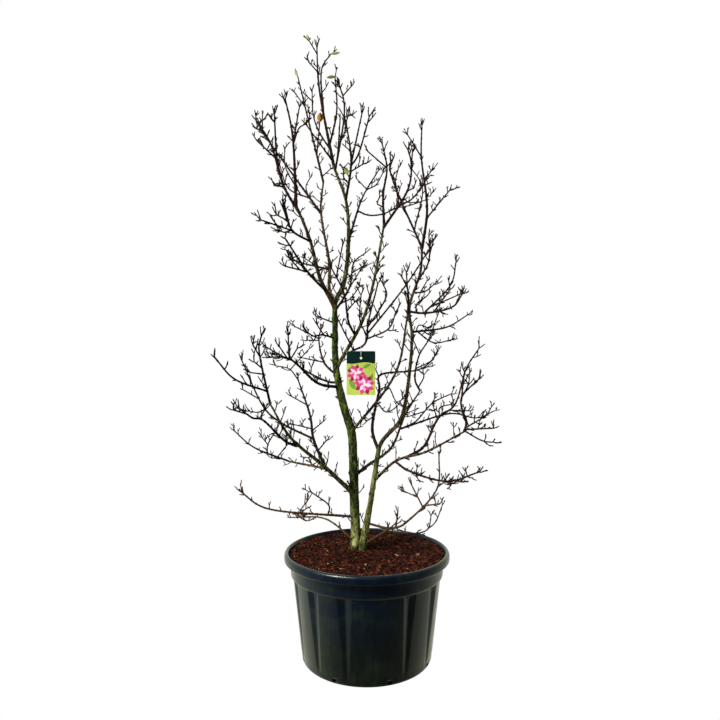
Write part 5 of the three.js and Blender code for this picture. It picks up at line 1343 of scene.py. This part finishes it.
class Spray:
    """The twigs and buds of one mass, made finer than its solid."""

    def __init__(self, twigs, buds, dice, settings):
        self.twigs = twigs
        self.buds = buds
        self.dice = dice
        self.settings = settings
        self.slot = int(dice.roll() * len(TWIG_TONES)) % len(TWIG_TONES)

    def knobbly(self, line, r0, r1, sides):
        """A twig that swells a little at each node."""
        run = run_of(line)
        dice = self.dice
        radii = (r0 + (r1 - r0) * run / run[-1]) * self.settings.girth
        node = 9 + 14 * dice.roll()
        swell = np.zeros(len(run))
        while node < run[-1]:
            swell += np.exp(-((run - node) / 3.2) ** 2) * (0.14 + 0.2 * dice.roll())
            node += 19 + 16 * dice.roll()
        self.twigs.tube(line, radii * (1 + swell), sides, self.slot)

    def bud(self, foot, heading, size):
        """A pointed winter bud, sunk a little into its twig."""
        length = self.settings.bud_length / MM * size
        line = foot + np.outer(BUD_PLACES * length, heading)
        tone = int(self.dice.roll() * len(BUD_TONES)) % len(BUD_TONES)
        self.buds.tube(line, length * BUD_GIRTH * BUD_SWELL, BUD_SIDES, tone)

    def twiglet(self, foot, heading, length, radius, order):
        """A short stout shoot that rises a little, with a bud at its tip and, if it is long, a fork."""
        dice = self.dice
        bend = unit(heading + np.array((0.3 * (dice.roll() - 0.5), 0.3 * (dice.roll() - 0.5), 0.3)))
        middle = foot + heading * length * 0.5
        tip = middle + bend * length * 0.5
        tip_radius = max(LEAST_TIP, radius * 0.82)
        line = smooth_line([foot, middle, tip], TWIGLET_STEP)
        self.knobbly(line, radius, tip_radius, TWIGLET_SIDES)
        self.bud(tip, bend, 0.75 + 0.35 * dice.roll())
        if order == 0 or length < FORK_FROM:
            return
        turn = dice.roll() * 6.28
        for k in range(2 if length > FORK_TWICE_FROM and dice.roll() < 0.5 else 1):
            share = 0.55 + 0.35 * dice.roll()
            way = spur_heading(bend, 0.65 + 0.35 * dice.roll(), turn + GOLDEN_TURN * k)
            self.twiglet(foot + (tip - foot) * share, way, 9 + 9 * dice.roll() + 0.1 * length, tip_radius, 0)

    def dress(self, tube, step, forked):
        """Short spurs along a shoot, and a fork at its tip."""
        dice = self.dice
        radii = [r for r in tube.radii if r > 0]
        r0, r1 = radii[0] * 0.97, radii[-1] * 0.97
        fine = respaced(np.asarray(tube.smooth), SHOOT_STEP)
        self.knobbly(fine, r0, r1, SHOOT_SIDES)
        run = run_of(fine)
        turn = dice.roll() * 6.28
        s = step * (0.5 + 0.6 * dice.roll())
        while s < run[-1] - 14:
            radius = r0 + (r1 - r0) * s / run[-1]
            for _ in range(2 if dice.roll() < 0.35 else 1):
                turn += GOLDEN_TURN
                foot = at_length(fine, run, s)
                heading = spur_heading(tangent_at(fine, run, s), 0.7 + 0.4 * dice.roll(), turn)
                long = dice.roll()
                length = 9 + 9 * dice.roll() + (24 * dice.roll() if long > 0.65 else 0) + radius
                self.twiglet(foot, heading, length, min(radius * 0.85, 2.7), 1)
            s += step * (0.6 + 0.8 * dice.roll())
        tangent = tangent_at(fine, run, run[-1])
        if not forked:
            return
        turn = dice.roll() * 3.14
        arms = 2 if dice.roll() < 0.75 else 3
        for k in range(arms):
            heading = spur_heading(tangent, 0.38 + 0.35 * dice.roll(), turn + 2 * math.pi * k / arms)
            self.twiglet(fine[-1] - tangent * (2 + 6 * k), heading, 18 + 20 * dice.roll(), r1 * 0.92, k % 2)

    def dress_spur(self, spur):
        """A twiglet along a spur of the solid."""
        foot, tip = np.array(spur.points[0]), np.array(spur.points[-1])
        length = float(np.linalg.norm(tip - foot)) - 4
        self.twiglet(foot, unit(tip - foot), length, TWIG_RADIUS * 0.95, 1)


def spray_pieces(twigs, buds, twig_name, bud_name):
    """The two pieces of a group of sprays: its twigs, and its buds of finer grain."""
    return (twigs.build(twig_name, [young_bark(*tone) for tone in TWIG_TONES]),
            buds.build(bud_name, [young_bark(*tone, 0.9) for tone in BUD_TONES]))


def build_twigs(settings):
    """Each mass as a spray, joined with its neighbours into a few pieces."""
    grown = crown()
    leafy = {(row[0], row[1]) for row in LEAVES}
    pieces = []
    for group, names in TWIG_GROUPS.items():
        twigs, buds = Mesher(), Mesher()
        for name in names:
            spray = Spray(twigs, buds, dice_for("sprays", MASS_NAMES.index(name)), settings)
            # The lowest sprays take the tan tone, a painted highlight.
            if name in TAN_SPRAYS:
                spray.slot = len(TWIG_TONES) - 1
            for shoot, tube in enumerate(grown.limbs[name]):
                spray.dress(tube, settings.spur_step / MM, (name, shoot) not in leafy)
            for spur in grown.spurs[name]:
                spray.dress_spur(spur)
        for piece in spray_pieces(twigs, buds, group + "_twigs", group + "_buds"):
            pieces.append((piece, names))
    return pieces


def build_limb_spurs(settings):
    """The short spurs that stand on the stems and boughs themselves."""
    grown = crown()
    twigs, buds = Mesher(), Mesher()
    for k, name in enumerate(list(STEM_NAMES) + [row[0] for row in BOUGHS]):
        dice = dice_for("limb_spurs", k)
        spray = Spray(twigs, buds, dice, settings)
        tube = grown.limbs[name][0]
        line = np.asarray(tube.smooth)
        run = run_of(line)
        s, step = STEM_SPURS if name in STEM_NAMES else BOUGH_SPURS
        turn = dice.roll() * 6.28
        kinked_run = run_of(np.array(tube.points))
        while s < run[-1] - 20:
            radius = float(np.interp(s * kinked_run[-1] / run[-1], kinked_run, tube.radii))
            for _ in range(1 + int(2.3 * dice.roll() ** 2)):
                turn += GOLDEN_TURN
                foot = at_length(line, run, s)
                heading = spur_heading(tangent_at(line, run, s), 0.85 + 0.4 * dice.roll(), turn)
                length = radius + 11 + 27 * dice.roll() + (34 if dice.roll() > 0.72 else 0)
                spray.twiglet(foot, heading, length, 2.1 + 0.5 * dice.roll(), 1)
            s += step * (0.5 + dice.roll())
    return spray_pieces(twigs, buds, "bough_spurs", "bough_spur_buds")


# Leaves

LEAF_TONES = [("pale_green_leaf", "#8E9858"), ("olive_leaf", "#74793F"), ("amber_leaf", "#A06F28"),
              ("brown_leaf", "#5A4232"), ("tan_leaf", "#7E6A45")]


def add_leaf(mesher, root, heading, length, width, curl, slot):
    """A thin cupped blade on a short stalk, with a pointed tip that curls over."""
    along = unit(np.array(heading, dtype=float))
    side = unit(np.cross(along, (0.1, 1.0, 0.3)))
    face = np.cross(side, along)
    mesher.tube(root + np.outer((-8, -3, 2, 6), along), (1.5, 1.2, 1.0, 0.8), 5, slot)
    rows, columns, thick = 11, 7, 0.55
    layers = []
    for lift in (thick / 2, -thick / 2):
        for i in range(rows):
            t = i / (rows - 1)
            half = width / 2 * (1.12 - 0.3 * t) * math.sin(math.pi * (0.03 + 0.95 * t)) ** 0.75
            bend = curl * t * t
            spine = root + along * (length * (t - 0.12 * bend)) + face * (length * 0.32 * bend)
            for k in range(columns):
                u = 2 * k / (columns - 1) - 1
                cup = 0.28 * half * abs(u) ** 1.4 + 0.5 * math.sin(9 * t + 3 * u)
                layers.append(spine + side * (half * u * (1 - 0.1 * abs(u))) + face * (cup + lift))
    n = rows * columns
    faces = []
    for i in range(rows - 1):
        for k in range(columns - 1):
            a = i * columns + k
            faces.append((a, a + 1, a + columns + 1, a + columns))
            faces.append((n + a, n + a + columns, n + a + columns + 1, n + a + 1))
    rim = list(range(columns)) + [i * columns + columns - 1 for i in range(1, rows)]
    rim += [n - columns + k for k in range(columns - 2, -1, -1)]
    rim += [i * columns for i in range(rows - 2, 0, -1)]
    for a, b in zip(rim, rim[1:] + rim[:1]):
        faces.append((b, a, n + a, n + b))
    mesher.add(layers, faces, slot)


def build_leaves():
    """The leaves at the shoots' tips, and the small dry ones curled on their spurs."""
    mesher = Mesher()
    for name, shoot, length, width, (across, up, depth), curl, slot in LEAVES:
        tip = np.array(crown().limbs[name][shoot].points[-1])
        add_leaf(mesher, tip, (across, depth, up), length, width, curl, slot)
    spurs = [spur for found in crown().spurs.values() for spur in found]
    for across, height, length, width, slot in CURLED_LEAVES:
        at = [math.hypot(*(sighted(spur.points[-1]) - (across, height))) for spur in spurs]
        foot, _, tip = spurs[at.index(min(at))].points
        add_leaf(mesher, np.array(tip), unit(tip - foot) + (0, 0, -0.6), length, width, 1.0, slot)
    return mesher.build("leftover_leaves", [young_bark(*tone, 3.0) for tone in LEAF_TONES])


# Label

CARD_WIDTH, CARD_HEIGHT, CARD_THICK, CARD_CORNER = 146.0, 238.0, 1.6, 6.0
HOLE_RADIUS, HOLE_DROP = 5.5, 36.0
TIE_RADIUS, TIE_SIDES, LOOP_RADIUS = 1.1, 8, 4.5
CARD_TONES = [("white_card", "#F1F1EC"), ("deep_green_ink", "#0B2720"), ("lime_ink", "#B3C653"),
              ("pink_ink", "#D2437F"), ("deep_pink_ink", "#9C1F58"), ("pale_pink_ink", "#EFA3C4"),
              ("leaf_green_ink", "#6F9A3E"), ("cream_ink", "#F2E6B4"), ("blush_ink", "#F6D3E0")]
INK = {name: slot for slot, (name, _) in enumerate(CARD_TONES)}
INK_THICK, INK_STEP = 0.02, 0.012

# Heights from the card's middle: the foot of the dark band, the lowest edge of the field under it,
# and how far down and up its leaves and flowers reach.
BAND_FOOT, FIELD_LOW, PRINT_LOW, PRINT_HIGH = 58, -104, -103, 54
# Each leaf: its root across and up, its turn, length and width.
CARD_LEAVES = ((-30, -74, 120, 60, 26), (-6, -84, 28, 66, 24), (40, -40, 66, 50, 22),
               (-40, 36, 205, 34, 15), (10, 32, 30, 50, 17))
# Each flower: its middle across and up, its outer petals' length, and the first one's turn.
CARD_FLOWERS = ((18, -50, 55, 10), (-26, 6, 48, 38))
PETALS = 9
OUTER_INKS = ("pink_ink", "deep_pink_ink")
INNER_INKS = ("pale_pink_ink", "pink_ink", "blush_ink")


def circle(x, y, radius, count=28):
    turns = np.linspace(0, 2 * math.pi, count, False)
    return [(x + radius * math.cos(a), y + radius * math.sin(a)) for a in turns]


def rounded_card():
    """The card's outline, with its corners rounded."""
    c = CARD_CORNER
    w, h = CARD_WIDTH / 2 - c, CARD_HEIGHT / 2 - c
    outline = []
    for x, y, start in ((w, -h, -90), (w, h, 0), (-w, h, 90), (-w, -h, 180)):
        for turn in range(start, start + 91, 15):
            a = math.radians(turn)
            outline.append((x + c * math.cos(a), y + c * math.sin(a)))
    return outline


def petal(x, y, angle, length, width):
    """A pointed petal or leaf, from its root out."""
    outline = []
    for t in np.linspace(0, 1, 13):
        outline.append((t * length, width / 2 * math.sin(math.pi * t ** 0.8)))
    for t in np.linspace(1, 0, 13)[1:-1]:
        outline.append((t * length, -width / 2 * math.sin(math.pi * t ** 0.8)))
    a = math.radians(angle)
    cs, sn = math.cos(a), math.sin(a)
    return [(x + u * cs - v * sn, y + u * sn + v * cs) for u, v in outline]


def filled(outlines, thick):
    """Flat outlines, with holes, filled by a curve and raised by the thickness."""
    curve = bpy.data.curves.new("outline", "CURVE")
    curve.dimensions = "2D"
    curve.fill_mode = "BOTH"
    curve.extrude = thick / 2
    for outline in outlines:
        spline = curve.splines.new("POLY")
        spline.points.add(len(outline) - 1)
        for point, (x, y) in zip(spline.points, outline):
            point.co = (x, y, 0, 1)
        spline.use_cyclic_u = True
    holder = bpy.data.objects.new("outline", curve)
    mesh = bpy.data.meshes.new_from_object(holder)
    verts = [tuple(v.co) for v in mesh.vertices]
    faces = [tuple(p.vertices) for p in mesh.polygons]
    bpy.data.objects.remove(holder)
    bpy.data.curves.remove(curve)
    bpy.data.meshes.remove(mesh)
    return verts, faces


def clipped(outline):
    """An outline held between the printed area's edges."""
    edge = CARD_WIDTH / 2 - 1.5
    return [(min(edge, max(-edge, x)), min(PRINT_HIGH, max(PRINT_LOW, y))) for x, y in outline]


def card_print():
    """The printed shapes in order: outlines, and the slot of their ink."""
    w = CARD_WIDTH / 2 - 0.6
    wave = [(x, BAND_FOOT + 4 * math.sin(x / 21 + 0.6)) for x in np.linspace(w, -w, 40)]
    top = [(x * 0.992, y - 0.6) for x, y in rounded_card() if y > BAND_FOOT + 2]
    hole = circle(0, CARD_HEIGHT / 2 - HOLE_DROP, HOLE_RADIUS + 0.4)
    band = top + wave[::-1]
    field = [(-w, FIELD_LOW), (w, FIELD_LOW)] + wave
    shapes = [([band, hole], INK["deep_green_ink"]), ([field], INK["lime_ink"])]
    for leaf in CARD_LEAVES:
        shapes.append(([clipped(petal(*leaf))], INK["leaf_green_ink"]))
    for x, y, size, first in CARD_FLOWERS:
        outer = (first, size, size * 0.6, OUTER_INKS)
        inner = (first + 20, size * 0.72, size * 0.34, INNER_INKS)
        for turn, length, width, inks in (outer, inner):
            for k in range(PETALS):
                outline = petal(x, y, turn + k * 360 / PETALS, length, width)
                shapes.append(([clipped(outline)], INK[inks[k % len(inks)]]))
        shapes.append(([circle(x, y, size * 0.13, 18)], INK["cream_ink"]))
    return shapes


def card_middle():
    """The middle of the card, as it hangs in the frame."""
    low, high = (np.array(corner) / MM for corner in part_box("label_card"))
    return (low + high) / 2


def build_card():
    """The card with its print in thin layers on the front, and the dark band on the back too."""
    middle = card_middle()
    mesher = Mesher()
    hole = circle(0, CARD_HEIGHT / 2 - HOLE_DROP, HOLE_RADIUS)
    layers = [([rounded_card(), hole], INK["white_card"], 0.0, CARD_THICK)]
    shapes = card_print()
    for order, (outlines, slot) in enumerate(shapes):
        layers.append((outlines, slot, -CARD_THICK / 2 - INK_THICK - INK_STEP * order, INK_THICK))
    layers.append((*shapes[0], CARD_THICK / 2 + INK_THICK, INK_THICK))
    for outlines, slot, lift, thick in layers:
        verts, faces = filled(outlines, thick)
        hung = [(middle[0] + x, middle[1] + lift + z, middle[2] + y) for x, y, z in verts]
        mesher.add(hung, faces, slot)
    return mesher.build("hanging_card", [printed_card(*tone) for tone in CARD_TONES], smooth=False)


def build_tie(settings):
    """A thin white loop over the twig and through the card's hole, with a small knot."""
    hole = card_middle() + (0, 0, CARD_HEIGHT / 2 - HOLE_DROP)
    twig = crown().limbs["label_twigs"][0]
    line = respaced(twig.smooth, 2)
    i = int(np.argmin(np.abs(line[:, 0] - hole[0])))
    along = unit(line[i + 1] - line[i - 1])
    radius = float(np.interp(i / len(line), (0, 1), (twig.radii[1], twig.radii[-1])))
    radius = radius * settings.girth * 1.08
    high = radius * math.hypot(along[0], along[2]) / abs(along[0]) + TIE_RADIUS
    wide = radius * math.hypot(along[0], along[1]) / abs(along[0]) + TIE_RADIUS + GAP
    path = []
    for turn in np.linspace(0, math.pi, 13):
        path.append((hole[0], line[i, 1] - wide * math.cos(turn), line[i, 2] + high * math.sin(turn)))
    for turn in np.linspace(math.pi, 2 * math.pi, 13):
        height = hole[2] + HOLE_RADIUS - TIE_RADIUS + LOOP_RADIUS * (1 + math.sin(turn))
        path.append((hole[0], hole[1] - LOOP_RADIUS * math.cos(turn), height))
    path.append((path[0][0], path[0][1], path[0][2] - 3))
    loop = respaced(np.array(path), 2.2)
    mesher = Mesher()
    mesher.tube(loop, [TIE_RADIUS * 0.95] * len(loop), TIE_SIDES)
    knot = np.array(path[0]) * 0.7 + np.array(path[-2]) * 0.3
    line = knot + np.outer(np.linspace(-3, 3, 7), (0.25, 0.1, 1))
    mesher.tube(line, (0.9, 1.9, 2.3, 2.2, 2.3, 1.9, 0.9), TIE_SIDES)
    return mesher.build("card_tie", [printed_card("white_polyester_tie", "#ECECE6")])


# Operators

def settle(piece, nodes):
    """Tells the frame what a piece replaces, and the body that it rides on."""
    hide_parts(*nodes)
    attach(piece, "root")


class MAGNOLIA_OT_pot(bpy.types.Operator):
    """Makes the moulded pot with its flutes, collar, rolled lip and drain slots"""
    bl_idname = "magnolia.pot"
    bl_label = "Pot"

    def execute(self, context):
        settle(build_pot(context.scene.magnolia_pot), ["pot"])
        return {"FINISHED"}


class MAGNOLIA_OT_compost(bpy.types.Operator):
    """Makes the compost's rough bed and its bark chips"""
    bl_idname = "magnolia.compost"
    bl_label = "Compost"

    def execute(self, context):
        for piece in build_compost(context.scene.magnolia_pot):
            settle(piece, ["compost"])
        return {"FINISHED"}


class MAGNOLIA_OT_limbs(bpy.types.Operator):
    """Makes the stems and boughs with their bark's relief, collars and short spurs"""
    bl_idname = "magnolia.limbs"
    bl_label = "Stems and boughs"

    def execute(self, context):
        names = [row[0] for row in BOUGHS]
        settle(build_stems(), STEM_NAMES)
        settle(build_boughs(), names)
        for piece in build_limb_spurs(context.scene.magnolia_twigs):
            settle(piece, names)
        return {"FINISHED"}


class MAGNOLIA_OT_twigs(bpy.types.Operator):
    """Grows each mass of twigs, with its spurs and winter buds"""
    bl_idname = "magnolia.twigs"
    bl_label = "Twigs and buds"

    def execute(self, context):
        for piece, names in build_twigs(context.scene.magnolia_twigs):
            settle(piece, names)
        return {"FINISHED"}


class MAGNOLIA_OT_leaves(bpy.types.Operator):
    """Makes the few leaves left at the twigs' tips"""
    bl_idname = "magnolia.leaves"
    bl_label = "Leftover leaves"

    def execute(self, context):
        piece = build_leaves()
        settle(piece, sorted({row[0] for row in LEAVES}))
        return {"FINISHED"}


class MAGNOLIA_OT_label(bpy.types.Operator):
    """Makes the printed card and the tie that it hangs by"""
    bl_idname = "magnolia.label"
    bl_label = "Label"

    def execute(self, context):
        settle(build_card(), ["label_card"])
        settle(build_tie(context.scene.magnolia_twigs), ["label_tie"])
        return {"FINISHED"}


class MAGNOLIA_OT_stage(bpy.types.Operator):
    """Makes the pale floor, the soft lights and the camera"""
    bl_idname = "magnolia.stage"
    bl_label = "Stage"

    def execute(self, context):
        settings = context.scene.magnolia_stage
        build_floor(settings)
        build_lights(settings)
        build_camera()
        return {"FINISHED"}


# Stage

# The floor's white begins between these distances from the middle, in metres, at the pot's foot.
FOOT_EDGE = (0.316, 0.319)
FLOOR_REACH = 14000
BOX = {"shape": "RECTANGLE", "size": 2.2, "size_y": 2.8}


def build_floor(settings):
    """A matt floor that the camera sees as plain white, but for the part under the pot."""
    material, tree, at = new_material("matt_pale_floor")
    tone = add_node(tree, "ShaderNodeTexNoise", {"Vector": at, "Scale": per_metre(900), "Detail": 1.0})
    rough = add_node(tree, "ShaderNodeMapRange", {
        "Value": tone.outputs["Fac"], "To Min": 0.85, "To Max": 0.95})
    flat = add_node(tree, "ShaderNodeVectorMath", {0: at, 1: (1, 1, 0)}, MULTIPLY)
    away = add_node(tree, "ShaderNodeVectorMath", {0: flat.outputs["Vector"]}, {"operation": "LENGTH"})
    beyond_foot = add_node(tree, "ShaderNodeMapRange", {
        "Value": away.outputs["Value"], "From Min": FOOT_EDGE[0], "From Max": FOOT_EDGE[1]}, SMOOTH)
    seen = add_node(tree, "ShaderNodeLightPath")
    plain = add_node(tree, "ShaderNodeMath", {
        0: beyond_foot.outputs["Result"], 1: seen.outputs["Is Camera Ray"]}, MULTIPLY)
    shader = add_node(tree, "ShaderNodeBsdfPrincipled", {
        "Base Color": (*settings.floor, 1.0), "Roughness": rough.outputs["Result"],
        "Specular IOR Level": 0.1})
    white = add_node(tree, "ShaderNodeEmission", {"Color": (1, 1, 1, 1)})
    mixed = add_node(tree, "ShaderNodeMixShader", {
        0: plain.outputs["Value"], 1: shader.outputs["BSDF"], 2: white.outputs["Emission"]})
    add_node(tree, "ShaderNodeOutputMaterial", {"Surface": mixed.outputs["Shader"]})
    mesher = Mesher()
    corners = ((-1, -1), (1, -1), (1, 1), (-1, 1))
    mesher.add([(FLOOR_REACH * x, FLOOR_REACH * y, -1) for x, y in corners], [(0, 1, 2, 3)])
    floor = mesher.build("floor", [material], smooth=False)
    floor.visible_glossy = False


def build_lights(settings):
    """A white surround, a key light at the upper left and two side boxes.

    The pot mirrors the surround as bright behind and dark in front.
    """
    world = bpy.data.worlds.new("studio")
    world.use_nodes = True
    tree = world.node_tree
    tree.nodes.clear()
    seen = add_node(tree, "ShaderNodeLightPath")
    direction = add_node(tree, "ShaderNodeTexCoord").outputs["Generated"]
    uneven = add_node(tree, "ShaderNodeVectorMath", {
        0: direction, 1: (-0.12, 0.93, 0.1)}, {"operation": "DOT_PRODUCT"})
    share = add_node(tree, "ShaderNodeMath", {0: uneven.outputs["Value"], 1: 0.5, 2: 0.5}, MULTIPLY_ADD)
    squared = add_node(tree, "ShaderNodeMath", {0: share.outputs["Value"], 1: 2.0}, {"operation": "POWER"})
    soft = add_node(tree, "ShaderNodeMath", {0: squared.outputs["Value"], 1: settings.world}, MULTIPLY)
    mirrored = add_node(tree, "ShaderNodeMix", {
        "Factor": seen.outputs["Is Glossy Ray"], "A": settings.fill, "B": soft.outputs["Value"]})
    strength = add_node(tree, "ShaderNodeMix", {
        "Factor": seen.outputs["Is Camera Ray"], "A": mirrored.outputs["Result"], "B": 1.0})
    tint = add_node(tree, "ShaderNodeMix", {
        "Factor": seen.outputs["Is Glossy Ray"], "A": (1, 1, 1, 1), "B": rgba("#F6FAE6")}, COLOURS)
    white = add_node(tree, "ShaderNodeBackground", {
        "Color": tint.outputs["Result"], "Strength": strength.outputs["Result"]})
    add_node(tree, "ShaderNodeOutputWorld", {"Surface": white.outputs["Background"]})
    bpy.context.scene.world = world
    add_light("key", "SUN", (-1.9, -1.6, 2.6), (0, 0, 0), 4.4, {"angle": math.radians(15)})
    add_light("left_box", "AREA", (-3.0, -1.9, 1.7), (0, 0, 0.8), 110, BOX)
    add_light("right_box", "AREA", (3.3, -0.6, 1.5), (0, 0, 0.7), 25, BOX)


def add_light(name, kind, at, aim, energy, settings):
    """A light at a place, aimed at another; only the sun is mirrored, and none is seen."""
    light = bpy.data.lights.new(name, kind)
    light.energy = energy
    for key, value in settings.items():
        setattr(light, key, value)
    holder = bpy.data.objects.new(name, light)
    holder.location = at
    holder.rotation_euler = (Vector(aim) - Vector(at)).to_track_quat("-Z", "Y").to_euler()
    holder.visible_camera = False
    holder.visible_glossy = kind == "SUN"
    bpy.context.scene.collection.objects.link(holder)


def build_camera():
    """The camera at the eye, with the photograph's lens, pitch and axis."""
    camera = bpy.data.cameras.new("camera")
    camera.sensor_width = 36
    camera.lens = FOCAL_LENGTH / PHOTO_WIDTH * camera.sensor_width
    camera.shift_x = -AXIS_OFFSET / PHOTO_WIDTH
    holder = bpy.data.objects.new("camera", camera)
    holder.location = (0, -EYE_DISTANCE * MM, EYE_HEIGHT * MM)
    holder.rotation_euler = (math.radians(90 + PITCH), 0, 0)
    bpy.context.scene.collection.objects.link(holder)
    bpy.context.scene.camera = holder
    bpy.context.scene.view_settings.view_transform = "Standard"


# Panel and registration

class MAGNOLIA_PT_panel(bpy.types.Panel):
    """Lists the pieces and their settings"""
    bl_label = "Potted magnolia"
    bl_idname = "MAGNOLIA_PT_panel"
    bl_space_type = "VIEW_3D"
    bl_region_type = "UI"
    bl_category = "Magnolia"

    def draw(self, context):
        scene = context.scene
        for group, keys in ((scene.magnolia_pot, ("flute_depth", "chips")),
                            (scene.magnolia_twigs, ("spur_step", "bud_length", "girth")),
                            (scene.magnolia_stage, ("floor", "world", "fill"))):
            for key in keys:
                self.layout.prop(group, key)
        for operator in OPERATORS:
            self.layout.operator(operator.bl_idname)


SETTINGS = {"magnolia_pot": PotSettings, "magnolia_twigs": TwigSettings, "magnolia_stage": StageSettings}
OPERATORS = (MAGNOLIA_OT_stage, MAGNOLIA_OT_pot, MAGNOLIA_OT_compost, MAGNOLIA_OT_limbs,
             MAGNOLIA_OT_twigs, MAGNOLIA_OT_leaves, MAGNOLIA_OT_label)


def register():
    for cls in (*SETTINGS.values(), *OPERATORS, MAGNOLIA_PT_panel):
        bpy.utils.register_class(cls)
    for name, cls in SETTINGS.items():
        setattr(bpy.types.Scene, name, bpy.props.PointerProperty(type=cls))


def unregister():
    for name in SETTINGS:
        delattr(bpy.types.Scene, name)
    for cls in (MAGNOLIA_PT_panel, *reversed(OPERATORS), *reversed(SETTINGS.values())):
        bpy.utils.unregister_class(cls)


def main():
    register()
    bpy.ops.magnolia.stage()
    bpy.ops.magnolia.pot()
    bpy.ops.magnolia.compost()
    bpy.ops.magnolia.limbs()
    bpy.ops.magnolia.twigs()
    bpy.ops.magnolia.leaves()
    bpy.ops.magnolia.label()


if __name__ == "__main__":
    main()
